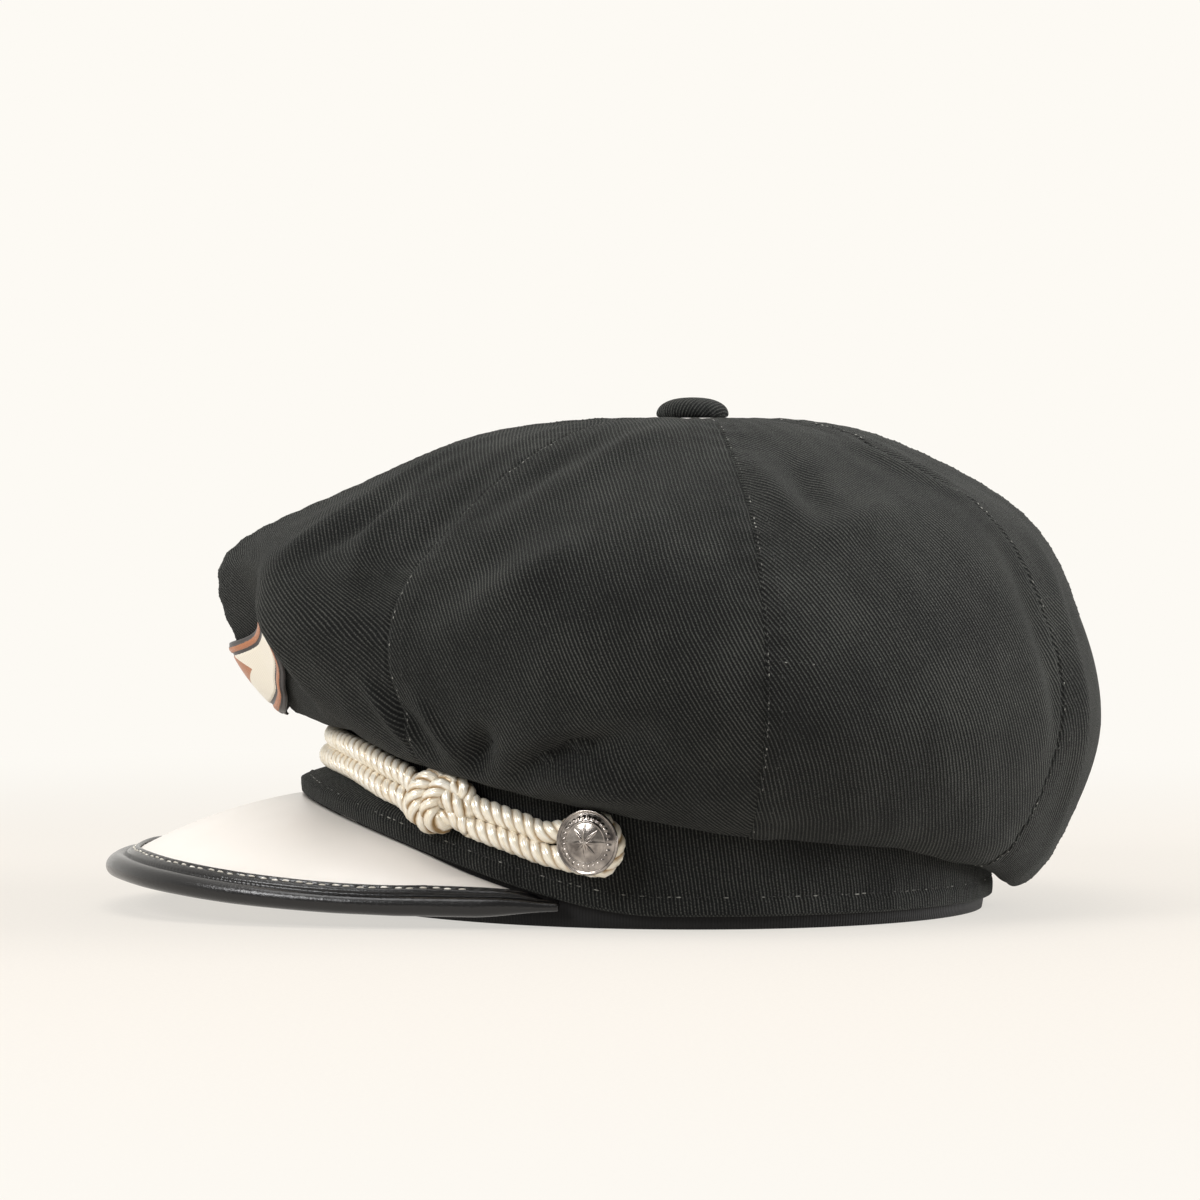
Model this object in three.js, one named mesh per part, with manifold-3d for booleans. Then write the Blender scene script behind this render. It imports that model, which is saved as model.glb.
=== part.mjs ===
// A twill motorcycle cap: a full eight-gore crown hanging over a headband, a stiff visor with a
// bound edge, a doubled cord across the front with a knot at each side, and a button at each temple.
// Millimetres. +X is the wearer's left, -Y the front, +Z up; the cap stands on z = 0.

import * as THREE from 'three';
import { ParametricGeometry } from 'three/addons/geometries/ParametricGeometry.js';
import { mergeVertices } from 'three/addons/utils/BufferGeometryUtils.js';
import Module from 'manifold-3d';

const wasm = await Module();
wasm.setup();

// ---- driving dimensions ----

const GAP = 0.3;
const DEGREE = Math.PI / 180;

// The head oval is drawn about an upright axis through the crown's top.
const AXIS_Y = 26;
const HEAD = { frontReach: 101.5, rearReach: 88, halfWidth: 84 };

const HEM = { height: 3.7, frontRise: 30, riseEnds: 84 * DEGREE };
const BAND = { wall: 2.2, flare: 13.3, flareEnds: 74 * DEGREE, bulgeTop: 0.2, bulgeFall: 0.28 };
const BAND_ROWS = [0, 0.2, 0.27, 0.34, 0.41, 0.48, 1];
const BAND_INSIDE_ROWS = [1, 0.48, 0.34, 0.2, 0];
const SWEATBAND = { wall: 1.2, belowBandTop: 4, frontLift: 1, liftEnds: 84 * DEGREE };

// The crown's sections, each at an angle from the front. seam is the height of the band's top edge;
// the other columns are [distance from the axis, height] up the outside, from the tuck under the
// overhang to the crest beside the top button.
const CROWN = {
  wall: 1.6,
  clear: 1.1,
  topHeight: 142.9,
  topRing: [36, 141.8],
  columns: 72,
  levels: 24,
  frontCrowding: 0.4,
};
const CROWN_SECTIONS = [
  { angle: 0, seam: 53.6, tuck: [109, 55.2], fold: [118, 57.6], low: [131, 72], wide: [139.5, 93],
    high: [132.5, 107], shoulder: [99.3, 123], crest: [66, 137] },
  { angle: 8, seam: 53.4, tuck: [106, 54.4], fold: [113, 56.4], low: [121.5, 70], wide: [129, 90],
    high: [129.5, 106], shoulder: [98.6, 122.3], crest: [65.8, 136.8] },
  { angle: 15, seam: 52.6, tuck: [104, 53.6], fold: [110, 55], low: [118, 68], wide: [127, 87],
    high: [127.5, 105], shoulder: [98, 121.4], crest: [65.4, 136.3] },
  { angle: 24, seam: 51.6, tuck: [102, 52.4], fold: [109, 54], low: [123.5, 67], wide: [133, 86],
    high: [127.5, 103.5], shoulder: [97.5, 119.8], crest: [64.6, 135.4] },
  { angle: 43, seam: 47.6, tuck: [97, 46.8], fold: [103.5, 44.8], low: [110.5, 58], wide: [116, 78],
    high: [109, 98], shoulder: [92.5, 115], crest: [62.5, 133] },
  { angle: 70, seam: 39.5, tuck: [88.5, 37], fold: [93, 34.6], low: [104, 46], wide: [113, 70],
    high: [108.5, 95], shoulder: [90, 115], crest: [60, 132.5] },
  { angle: 98, seam: 33, tuck: [86.2, 29.5], fold: [90.3, 26.8], low: [102.5, 37], wide: [114, 62],
    high: [110, 91], shoulder: [91.5, 116], crest: [60, 133.5] },
  { angle: 122, seam: 31.5, tuck: [86.4, 26], fold: [91.5, 23.5], low: [104, 33], wide: [116, 58],
    high: [111, 89], shoulder: [93, 115], crest: [60.5, 134] },
  { angle: 151, seam: 30.5, tuck: [87.6, 20], fold: [93, 14.5], low: [105.5, 24], wide: [119, 56],
    high: [113, 88], shoulder: [96, 114.5], crest: [61.5, 134.5] },
  { angle: 180, seam: 30, tuck: [89.8, 14], fold: [95, 5.6], low: [106.4, 17], wide: [119.6, 53],
    high: [113.6, 86], shoulder: [97.8, 114.2], crest: [62.5, 134.9] },
];
const STATIONS = ['tuck', 'fold', 'low', 'wide', 'high', 'shoulder', 'crest'];

// The dents and folds of the slack cloth on the wearer's left. Each runs along a curve from one
// [angle, station] by way of another to a third; the seam is station 0 and the crest station 7.
// height is how far a ridge stands out of the section, or a valley sinks in where it is negative.
const FOLDS = [
  { from: [15, 7.3], via: [24, 6], to: [24.5, 4.8], height: 2, width: 5 },
  { from: [27, 6.9], via: [30, 6], to: [26.5, 4.7], height: -1.6, width: 5 },
  { from: [22, 6.9], via: [32, 6], to: [36, 4.6], height: 2.2, width: 5 },
  { from: [36, 6.8], via: [41, 6], to: [41, 4.7], height: -2.2, width: 7 },
  { from: [80, 7.8], via: [68, 7.1], to: [60, 6.35], height: 1.8, width: 6 },
  { from: [57, 7.3], via: [50, 6.8], to: [49, 5.9], height: -2, width: 7 },
  { from: [74, 5.8], via: [63, 5.1], to: [50, 4.25], height: 2.2, width: 9 },
  { from: [61, 6.4], via: [58, 5.5], to: [50, 4.7], height: -1.6, width: 8 },
  { from: [103, 7], via: [105, 6.3], to: [110, 5.7], height: 1.6, width: 6 },
  { from: [110, 5.7], via: [116, 5.9], to: [132, 6.3], height: 1.5, width: 6 },
  { from: [115, 6.9], via: [112, 6.4], to: [110, 6], height: -1.8, width: 6 },
  { from: [142, 7.3], via: [138, 6.5], to: [153, 6.2], height: 1.6, width: 5 },
  { from: [153, 7.3], via: [146, 6.5], to: [153, 6.35], height: -1.8, width: 5 },
  { from: [165, 6], via: [144, 4.4], to: [170, 2.8], height: 2, width: 6 },
  { from: [147, 6], via: [146, 4.5], to: [153, 3.2], height: -1.4, width: 6 },
  { from: [57, 3.2], via: [55, 2.8], to: [52.5, 2.5], height: -2.2, width: 5 },
  { from: [82, 3.6], via: [64, 3.3], to: [58.3, 2.4], height: -2.8, width: 6 },
  { from: [80, 2.8], via: [72, 2.85], to: [66, 2.7], height: 2, width: 7 },
];
// The far side has the same folds, turned a little towards the back and shallower.
const FAR_SIDE = { turn: 5, height: 0.8 };
const FOLD_STEPS = 12;

const TOP_BUTTON = { radius: 10.6, rim: 2, height: 5.4, seat: CROWN.topHeight + 1.3 * GAP };

// The visor's sections, from the middle of the front to its end at the temple. edge is the centre of
// the rolled edge.
const VISOR = {
  wall: 1.6,
  dome: 3,
  fullDome: 24,
  tuckedIn: 1.8,
  underHem: 0.55,
  endAngle: 62 * DEGREE,
  plateEnds: 0.985,
  endCapInward: 2.4,
  slices: 42,
  steps: 5,
};
// The share of each side beyond which the bound edge, and not the plate, passes under the hem.
const BOUND_ROOT = { from: 0.55, over: 0.25 };
// Half the length of the visor's edge, which turns a distance along it into a share.
const HALF_EDGE = 150;
const VISOR_SECTIONS = [
  { share: 0, edge: [0, -142.9, 12.4] },
  { share: 0.16, edge: [27, -139, 12.8] },
  { share: 0.34, edge: [50, -125.5, 11.4] },
  { share: 0.52, edge: [66, -102, 8.9] },
  { share: 0.7, edge: [74.5, -73.5, 6.9] },
  { share: 0.86, edge: [77.8, -42, 6.6] },
  { share: 1, edge: [79.4, -16.5, 6.2] },
];
// The binding's section: a roll, then a groove, then a flat strip to each side of the plate.
const BINDING = {
  slot: 0.28,
  roll: 3,
  endRoll: 2,
  tapers: 0.2,
  strip: 1.9,
  groove: 1.5,
  width: 7.6,
  leastStrip: 1.5,
  clearOfRoot: 0.5,
  ends: 1.004,
  slices: 42,
};
// The arc of the roll that shows outside the groove, in degrees from the plate.
const ROLL_ARC = { from: 50, over: 260, steps: 6 };

const CORD = { radius: 3.05, clear: 1.5 * GAP, sides: 8, frontSteps: 34, loopSteps: 26 };
// Both runs of the cord, from the front to the button: heights of the upper and the lower run.
const CORD_HEIGHTS = [
  { angle: 0, upper: 50.4, lower: 44.1 },
  { angle: 18, upper: 48.2, lower: 41.9 },
  { angle: 32, upper: 42.6, lower: 36 },
  { angle: 43, upper: 37.4, lower: 30.9 },
  { angle: 50, upper: 33.6, lower: 27.2 },
  { angle: 58, upper: 29.4, lower: 22.8 },
  { angle: 66, upper: 28.6, lower: 19.2 },
];
const KNOT = { angle: 42.5 * DEGREE, halfSpan: 6 * DEGREE, clear: 0.4 * DEGREE, standOff: 1.6 };
// The two turns that wrap the runs: where they lie, and how far they reach across, out and along.
const WRAP = {
  offsets: [-2.6 * DEGREE, 2.4 * DEGREE],
  radius: 2.8,
  across: 6.4,
  out: 1.2,
  swell: 2.9,
  skew: 1.4,
};
const SIDE_BUTTON = {
  angle: 71.4 * DEGREE,
  height: 25,
  turn: 22 * DEGREE,
  radius: 9.2,
  rise: 3.4,
  rim: 0.5,
  lip: 0.3,
  shank: 2.4,
  shankFoot: GAP + 0.9,
  domeSeat: 2 * CORD.radius + 8 * GAP,
};
// The cord's way round the shank: where it leaves the band, and its arc about the button's seat.
const CORD_TURN = {
  from: 60 * DEGREE,
  arc: 100 * DEGREE,
  radius: 6.8,
  drop: 0.75,
  out: CORD.radius + 4 * GAP,
};
// The badge is a pointed shield with two raised corners. corner, notch and tip are heights, and
// hollow is the power of the curve of its top edge.
const PATCH = {
  wall: 1.5,
  clear: 1.55,
  corner: 87,
  notch: 77,
  tip: 57.5,
  hollow: 2.2,
  least: 0.8,
  levels: 10,
  across: 14,
};
const PATCH_WIDTHS = [
  { share: 0, half: 31.5 },
  { share: 0.3, half: 31.3 },
  { share: 0.5, half: 28 },
  { share: 0.66, half: 20 },
  { share: 0.8, half: 15.5 },
  { share: 0.93, half: 8 },
  { share: 1, half: 0 },
];
// The crown's reach where the badge lies, which turns a width into an angle.
const PATCH_REACH = 125;

// ---- smooth tables ----

// A smooth curve through (x, y) pairs: each piece is a cubic whose slope at a pair is that of the
// line between its two neighbours.
function smooth(xs, ys, x) {
  let i = 1;
  while (i < xs.length - 3 && x > xs[i + 1]) i += 1;
  const span = xs[i + 1] - xs[i];
  const t = (x - xs[i]) / span;
  const slopeIn = ((ys[i + 1] - ys[i - 1]) / (xs[i + 1] - xs[i - 1])) * span;
  const slopeOut = ((ys[i + 2] - ys[i]) / (xs[i + 2] - xs[i])) * span;
  const rise = ys[i + 1] - ys[i];
  const square = 3 * rise - 2 * slopeIn - slopeOut;
  const cube = slopeIn + slopeOut - 2 * rise;
  return ys[i] + t * (slopeIn + t * (square + t * cube));
}

// The same, for a table that is mirrored about both of its ends.
function smoothMirrored(xs, ys, x) {
  const last = xs.length - 1;
  const longXs = [2 * xs[0] - xs[1], ...xs, 2 * xs[last] - xs[last - 1]];
  const longYs = [ys[1], ...ys, ys[last - 1]];
  return smooth(longXs, longYs, x);
}

// 1 at zero, easing to 0 where x reaches end.
function fade(x, end) {
  return (1 + Math.cos(Math.PI * Math.min(Math.abs(x) / end, 1))) / 2;
}

// ---- the head oval, band and hem ----

function awayFromFront(angle) {
  return Math.abs(Math.atan2(Math.sin(angle), Math.cos(angle)));
}

function headReach(angle) {
  const reach = Math.cos(angle) > 0 ? HEAD.frontReach : HEAD.rearReach;
  return 1 / Math.hypot(Math.cos(angle) / reach, Math.sin(angle) / HEAD.halfWidth);
}

function hemHeight(angle) {
  return HEM.height + HEM.frontRise * fade(awayFromFront(angle), HEM.riseEnds);
}

const sectionAngles = CROWN_SECTIONS.map((section) => section.angle * DEGREE);
const seamHeights = CROWN_SECTIONS.map((section) => section.seam);

function seamHeight(angle) {
  return smoothMirrored(sectionAngles, seamHeights, awayFromFront(angle));
}

// The band's outer face, which bulges out over the visor at the front; share runs from hem to seam.
function bandReach(angle, share) {
  const flare = BAND.flare * fade(awayFromFront(angle), BAND.flareEnds);
  return headReach(angle) + flare * fade(Math.max(share - BAND.bulgeTop, 0), BAND.bulgeFall);
}

function bandReachAt(angle, height) {
  const share = (height - hemHeight(angle)) / (seamHeight(angle) - hemHeight(angle));
  return bandReach(angle, Math.min(Math.max(share, 0), 1));
}

function place(angle, reach, height) {
  return new THREE.Vector3(reach * Math.sin(angle), AXIS_Y - reach * Math.cos(angle), height);
}

// ---- closed skins ----

// A closed mesh from a grid of points: shared vertices are merged, the flat triangles where a row
// shrinks to a point are dropped, and the faces are turned outwards.
function closedSkin(point, columns, rows) {
  const raw = new ParametricGeometry(point, columns, rows);
  raw.deleteAttribute('normal');
  raw.deleteAttribute('uv');
  const geometry = mergeVertices(raw, 1e-4);
  const index = Array.from(geometry.index.array);
  const kept = [];
  for (let i = 0; i < index.length; i += 3) {
    const [a, b, c] = index.slice(i, i + 3);
    if (a !== b && b !== c && c !== a) kept.push(a, b, c);
  }
  geometry.setIndex(kept);
  return facingOut(geometry);
}

function facingOut(geometry) {
  const corner = [new THREE.Vector3(), new THREE.Vector3(), new THREE.Vector3()];
  const index = geometry.index.array;
  let volume = 0;
  for (let i = 0; i < index.length; i += 3) {
    corner.forEach((v, k) => v.fromBufferAttribute(geometry.attributes.position, index[i + k]));
    volume += corner[0].dot(corner[1].clone().cross(corner[2])) / 6;
  }
  if (volume < 0) {
    const flipped = [];
    for (let i = 0; i < index.length; i += 3) flipped.push(index[i], index[i + 2], index[i + 1]);
    geometry.setIndex(flipped);
  }
  geometry.computeVertexNormals();
  return geometry;
}

// A ring wall: section(angle, k) gives corner k of its closed section.
function ringWall(section, columns, corners) {
  return closedSkin((u, v, target) => {
    target.copy(section((u % 1) * 2 * Math.PI, Math.round(v * corners) % corners));
  }, columns, corners);
}

// A bar with closed ends: section(share, k) gives corner k of the section at a share of its length.
function cappedBar(section, middle, slices, corners) {
  return closedSkin((u, v, target) => {
    const row = Math.round(v * (slices + 2));
    const share = Math.min(Math.max((row - 1) / slices, 0), 1);
    const capped = row === 0 || row === slices + 2;
    target.copy(capped ? middle(share) : section(share, Math.round(u * corners) % corners));
  }, corners, slices + 2);
}

function toSolid(geometry) {
  return new wasm.Manifold(new wasm.Mesh({
    numProp: 3,
    vertProperties: new Float32Array(geometry.attributes.position.array),
    triVerts: new Uint32Array(geometry.index.array),
  }));
}

function toGeometry(solid) {
  const mesh = solid.getMesh();
  const geometry = new THREE.BufferGeometry();
  geometry.setAttribute('position', new THREE.BufferAttribute(mesh.vertProperties, 3));
  geometry.setIndex(new THREE.BufferAttribute(mesh.triVerts, 1));
  geometry.computeVertexNormals();
  return geometry;
}

// ---- crown ----

// The outside of the crown: share runs from 0 at the seam to 1 at the top.
function crownPoint(angle, share) {
  const away = awayFromFront(angle);
  const stations = [[headReach(angle) + CROWN.clear, seamHeight(angle) + GAP]];
  for (const name of STATIONS) {
    const reach = smoothMirrored(sectionAngles, CROWN_SECTIONS.map((s) => s[name][0]), away);
    const height = smoothMirrored(sectionAngles, CROWN_SECTIONS.map((s) => s[name][1]), away);
    stations.push([reach, height]);
  }
  stations.push(CROWN.topRing, [0, CROWN.topHeight], [-CROWN.topRing[0], CROWN.topRing[1]]);
  stations.unshift([2 * stations[0][0] - stations[1][0], 2 * stations[0][1] - stations[1][1]]);
  const knots = stations.map((_, i) => i - 1);
  const at = share * (stations.length - 3);
  const reach = smooth(knots, stations.map((s) => s[0]), at);
  const height = smooth(knots, stations.map((s) => s[1]), at);
  return place(angle, share === 1 ? 0 : reach, share === 1 ? CROWN.topHeight : height);
}

function surfaceNormal(point, a, b) {
  const step = 1e-4;
  const alongA = point(a + step, b).sub(point(a - step, b));
  const low = Math.max(b - step, 0);
  const high = Math.min(b + step, 1 - step);
  const alongB = point(a, high).sub(point(a, low));
  return alongA.cross(alongB).normalize();
}

function foldRoute(fold, sign) {
  const turn = sign < 0 ? FAR_SIDE.turn : 0;
  const corners = [fold.from, fold.via, fold.to].map(([angle, station]) => new THREE.Vector2(angle, station));
  const curve = new THREE.QuadraticBezierCurve(...corners);
  return curve.getPoints(FOLD_STEPS).map((p) => {
    return crownPoint(sign * (p.x + turn) * DEGREE, p.y / (STATIONS.length + 2));
  });
}

const folds = FOLDS.flatMap((fold) => [
  { route: foldRoute(fold, 1), height: fold.height, width: fold.width },
  { route: foldRoute(fold, -1), height: fold.height * FAR_SIDE.height, width: fold.width },
]);

// A fold swells to its height half-way along its route and fades away to both sides.
function foldRise(fold, point) {
  let share = 0;
  for (let i = 0; i < FOLD_STEPS; i += 1) {
    const line = new THREE.Line3(fold.route[i], fold.route[i + 1]);
    const along = line.closestPointToPointParameter(point, true);
    const away = line.at(along, new THREE.Vector3()).distanceTo(point) / fold.width;
    const swell = Math.sin((Math.PI * (i + along)) / FOLD_STEPS);
    share = Math.max(share, swell * Math.exp(-(away ** 2)));
  }
  return fold.height * share;
}

function foldedPoint(angle, share) {
  const point = crownPoint(angle, share);
  const rise = folds.reduce((sum, fold) => sum + foldRise(fold, point), 0);
  return rise === 0 ? point : point.addScaledVector(surfaceNormal(crownPoint, angle, share), rise);
}

function crownGeometry() {
  const levels = CROWN.levels;
  const rows = 2 * levels + 1;
  return closedSkin((u, v, target) => {
    const row = Math.round(v * rows);
    const inside = row > levels;
    const share = inside ? (row - levels - 1) / levels : 1 - row / levels;
    // Columns lie closer together round the front, where the crown is pinched.
    const turn = u % 1;
    const angle = 2 * Math.PI * turn - CROWN.frontCrowding * Math.sin(2 * Math.PI * turn);
    target.copy(share === 1 ? crownPoint(angle, share) : foldedPoint(angle, share));
    if (inside && share === 1) target.z -= CROWN.wall;
    else if (inside) target.addScaledVector(surfaceNormal(foldedPoint, angle, share), -CROWN.wall);
  }, CROWN.columns, rows);
}

function topButtonGeometry() {
  const { seat } = TOP_BUTTON;
  const profile = [new THREE.Vector2(0, seat), new THREE.Vector2(TOP_BUTTON.radius, seat)];
  const steps = 5;
  for (let i = 0; i <= steps; i += 1) {
    const turn = (i / steps) * (Math.PI / 2);
    const height = seat + TOP_BUTTON.rim + (TOP_BUTTON.height - TOP_BUTTON.rim) * Math.sin(turn);
    profile.push(new THREE.Vector2(i === steps ? 0 : TOP_BUTTON.radius * Math.cos(turn), height));
  }
  const dome = new THREE.LatheGeometry(profile, 24);
  dome.rotateX(Math.PI / 2);
  dome.translate(0, AXIS_Y, 0);
  return dome;
}

// ---- band and sweatband ----

function bandGeometry() {
  const shares = [...BAND_ROWS, ...BAND_INSIDE_ROWS];
  return ringWall((angle, k) => {
    const height = THREE.MathUtils.lerp(hemHeight(angle), seamHeight(angle), shares[k]);
    return place(angle, bandReach(angle, shares[k]) - (k < BAND_ROWS.length ? 0 : BAND.wall), height);
  }, 72, shares.length);
}

function sweatbandGeometry() {
  return ringWall((angle, k) => {
    const low = SWEATBAND.frontLift * fade(awayFromFront(angle), SWEATBAND.liftEnds);
    const high = seamHeight(angle) - SWEATBAND.belowBandTop;
    const outside = headReach(angle) - BAND.wall - GAP;
    const inside = k === 0 || k === 3;
    return place(angle, outside - (inside ? SWEATBAND.wall : 0), k < 2 ? low : high);
  }, 72, 4);
}

// ---- visor and its binding ----

// The middle layer of the visor plate. side runs from -1 to 1 across the front; inward is the
// distance in from the centre of the rolled edge, and negative outside it.
function visorEdge(side) {
  const shares = VISOR_SECTIONS.map((section) => section.share);
  const at = Math.abs(side);
  const last = shares.length - 1;
  const longShares = [-shares[1], ...shares, 2 * shares[last] - shares[last - 1]];
  const value = (axis) => {
    const column = VISOR_SECTIONS.map((section) => section.edge[axis]);
    const before = axis === 0 ? -column[1] : column[1];
    return smooth(longShares, [before, ...column, 2 * column[last] - column[last - 1]], at);
  };
  return new THREE.Vector3(Math.sign(side) * value(0), value(1), value(2));
}

function visorRoot(side) {
  const angle = side * VISOR.endAngle;
  // Towards the temples the bound edge itself passes under the hem, so the root drops by its depth.
  const bound = 1 - fade(Math.max(Math.abs(side) - BOUND_ROOT.from, 0), BOUND_ROOT.over);
  const above = THREE.MathUtils.lerp(VISOR.wall / 2, BINDING.strip, bound);
  return place(angle, bandReach(angle, 0) - VISOR.tuckedIn, hemHeight(angle) - VISOR.underHem - above);
}

function visorDepth(side) {
  return visorRoot(side).distanceTo(visorEdge(side));
}

function visorMiddle(side, inward) {
  const depth = visorDepth(side);
  const share = inward / depth;
  const point = visorEdge(side).lerp(visorRoot(side), share);
  point.z += 4 * VISOR.dome * Math.min(depth / VISOR.fullDome, 1) * share * (1 - share);
  return point;
}

function visorNormal(side, inward) {
  const step = 1e-3;
  const along = visorMiddle(side + step, inward).sub(visorMiddle(side - step, inward));
  const across = visorMiddle(side, inward + step).sub(visorMiddle(side, inward - step));
  const normal = along.cross(across).normalize();
  return normal.z < 0 ? normal.negate() : normal;
}

function visorPoint(side, inward, proud) {
  return visorMiddle(side, inward).addScaledVector(visorNormal(side, inward), proud);
}

// grow thickens the plate on every face but the root, to cut its seat in the binding.
function visorGeometry(grow) {
  const corners = 2 * (VISOR.steps + 1);
  const proud = VISOR.wall / 2 + grow;
  const end = VISOR.plateEnds + grow / HALF_EDGE;
  return cappedBar(
    (share, k) => {
      const side = (2 * share - 1) * end;
      const under = k > VISOR.steps;
      const step = under ? corners - 1 - k : k;
      const from = BINDING.roll / 2 - grow;
      const inward = THREE.MathUtils.lerp(from, visorDepth(side), step / VISOR.steps);
      return visorPoint(side, inward, under ? -proud : proud);
    },
    (share) => visorPoint((2 * share - 1) * end, VISOR.endCapInward, 0),
    VISOR.slices,
    corners,
  );
}

function bindingGeometry() {
  const section = (width, roll) => {
    const stripEnd = Math.max(width, roll + BINDING.leastStrip);
    const flat = [
      [stripEnd, BINDING.strip],
      [roll + 1, BINDING.strip],
      [roll - 0.5, BINDING.groove],
    ];
    const arc = [];
    for (let i = 0; i <= ROLL_ARC.steps; i += 1) {
      const turn = (ROLL_ARC.from + (ROLL_ARC.over * i) / ROLL_ARC.steps) * DEGREE;
      arc.push([roll * Math.cos(turn), roll * Math.sin(turn)]);
    }
    const flatBelow = flat.map(([inward, proud]) => [inward, -proud]).reverse();
    return [...flat, ...arc, ...flatBelow];
  };
  const bar = cappedBar(
    (share, k) => {
      const side = (2 * share - 1) * BINDING.ends;
      const width = Math.min(BINDING.width, visorDepth(side) - BINDING.clearOfRoot);
      const slim = fade(Math.max(1 - Math.abs(side), 0), BINDING.tapers);
      const roll = THREE.MathUtils.lerp(BINDING.roll, BINDING.endRoll, slim);
      const [inward, proud] = section(width, roll)[k];
      return visorPoint(side, inward, proud);
    },
    (share) => visorPoint((2 * share - 1) * BINDING.ends, 0, 0),
    BINDING.slices,
    section(BINDING.width, BINDING.roll).length,
  );
  return toGeometry(toSolid(bar).subtract(toSolid(visorGeometry(BINDING.slot))));
}

// ---- cord, knots and side buttons ----

function cordHeight(run, angle) {
  const angles = CORD_HEIGHTS.map((row) => row.angle * DEGREE);
  const column = CORD_HEIGHTS.map((row) => row[run]);
  return smoothMirrored(angles, column, Math.abs(angle));
}

// The cord's centre lies where its round section just clears the band, and further out at the knot.
function cordPoint(run, angle) {
  const height = cordHeight(run, angle);
  const clear = CORD.radius + CORD.clear;
  let reach = 0;
  for (let i = -4; i <= 4; i += 1) {
    const rise = (clear * i) / 4;
    reach = Math.max(reach, bandReachAt(angle, height + rise) + Math.sqrt(clear ** 2 - rise ** 2));
  }
  const lift = KNOT.standOff * fade(Math.abs(angle) - KNOT.angle, 3 * KNOT.halfSpan);
  return place(angle, reach + lift, height);
}

function tube(points, steps, radius, sides) {
  const circle = new THREE.Shape();
  for (let i = 0; i < sides; i += 1) {
    const turn = (2 * Math.PI * i) / sides;
    const [x, y] = [radius * Math.cos(turn), radius * Math.sin(turn)];
    if (i === 0) circle.moveTo(x, y);
    else circle.lineTo(x, y);
  }
  const extrudePath = new THREE.CatmullRomCurve3(points);
  return new THREE.ExtrudeGeometry(circle, { steps, extrudePath, bevelEnabled: false });
}

function frontRunGeometry(run) {
  const end = KNOT.angle - KNOT.halfSpan;
  const points = [];
  for (let i = 0; i <= 20; i += 1) {
    points.push(cordPoint(run, THREE.MathUtils.lerp(-end, end, i / 20)));
  }
  return tube(points, CORD.frontSteps, CORD.radius, CORD.sides);
}

function buttonFrame(sign) {
  const angle = sign * SIDE_BUTTON.angle;
  const seat = place(angle, headReach(angle), SIDE_BUTTON.height);
  const facing = Math.PI / 2 - SIDE_BUTTON.turn;
  const out = new THREE.Vector3(sign * Math.sin(facing), -Math.cos(facing), 0);
  const back = new THREE.Vector3(out.y * -sign, out.x * sign, 0);
  return { seat, out, back };
}

// From the knot along the upper run, round the button's shank and back along the lower run.
function loopGeometry(sign) {
  const start = KNOT.angle + KNOT.halfSpan;
  const { seat, out, back } = buttonFrame(sign);
  const along = (run, share) => cordPoint(run, sign * THREE.MathUtils.lerp(start, CORD_TURN.from, share));
  const outward = [0, 1 / 3, 2 / 3, 1];
  const points = outward.map((share) => along('upper', share));
  for (let i = 0; i <= 8; i += 1) {
    const turn = CORD_TURN.arc * (1 - i / 4);
    const point = seat.clone().addScaledVector(out, CORD_TURN.out);
    point.addScaledVector(back, CORD_TURN.radius * Math.cos(turn));
    point.z += CORD_TURN.radius * Math.sin(turn) - CORD_TURN.drop;
    points.push(point);
  }
  points.push(...outward.reverse().map((share) => along('lower', share)));
  return tube(points, CORD.loopSteps, CORD.radius, CORD.sides);
}

// The knot: both runs pass through it, wrapped by two turns and crossed by one strand.
function knotGeometry(sign) {
  const inner = KNOT.halfSpan - KNOT.clear;
  const at = (run, offset) => cordPoint(run, sign * (KNOT.angle + offset));
  let solid = null;
  const join = (geometry) => {
    geometry.deleteAttribute('normal');
    geometry.deleteAttribute('uv');
    const piece = toSolid(facingOut(mergeVertices(geometry, 1e-4)));
    solid = solid ? solid.add(piece) : piece;
  };
  for (const run of ['upper', 'lower']) {
    join(tube([at(run, -inner), at(run, 0), at(run, inner)], 4, CORD.radius, CORD.sides));
  }
  for (const offset of WRAP.offsets) {
    const middle = at('upper', offset).add(at('lower', offset)).divideScalar(2);
    const up = at('upper', offset).sub(at('lower', offset)).normalize();
    const along = at('upper', offset + 0.02).sub(at('upper', offset - 0.02)).normalize();
    const out = along.clone().cross(up).normalize();
    if (out.dot(new THREE.Vector3(middle.x, middle.y - AXIS_Y, 0)) < 0) out.negate();
    const points = [];
    for (let i = 0; i < 14; i += 1) {
      const turn = (2 * Math.PI * i) / 14;
      const point = middle.clone().addScaledVector(up, WRAP.across * Math.cos(turn));
      point.addScaledVector(out, WRAP.out + WRAP.swell * Math.sin(turn));
      points.push(point.addScaledVector(along, WRAP.skew * Math.cos(turn)));
    }
    const path = new THREE.CatmullRomCurve3(points, true);
    join(new THREE.TubeGeometry(path, 16, WRAP.radius, 7, true));
  }
  return toGeometry(solid);
}

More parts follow.
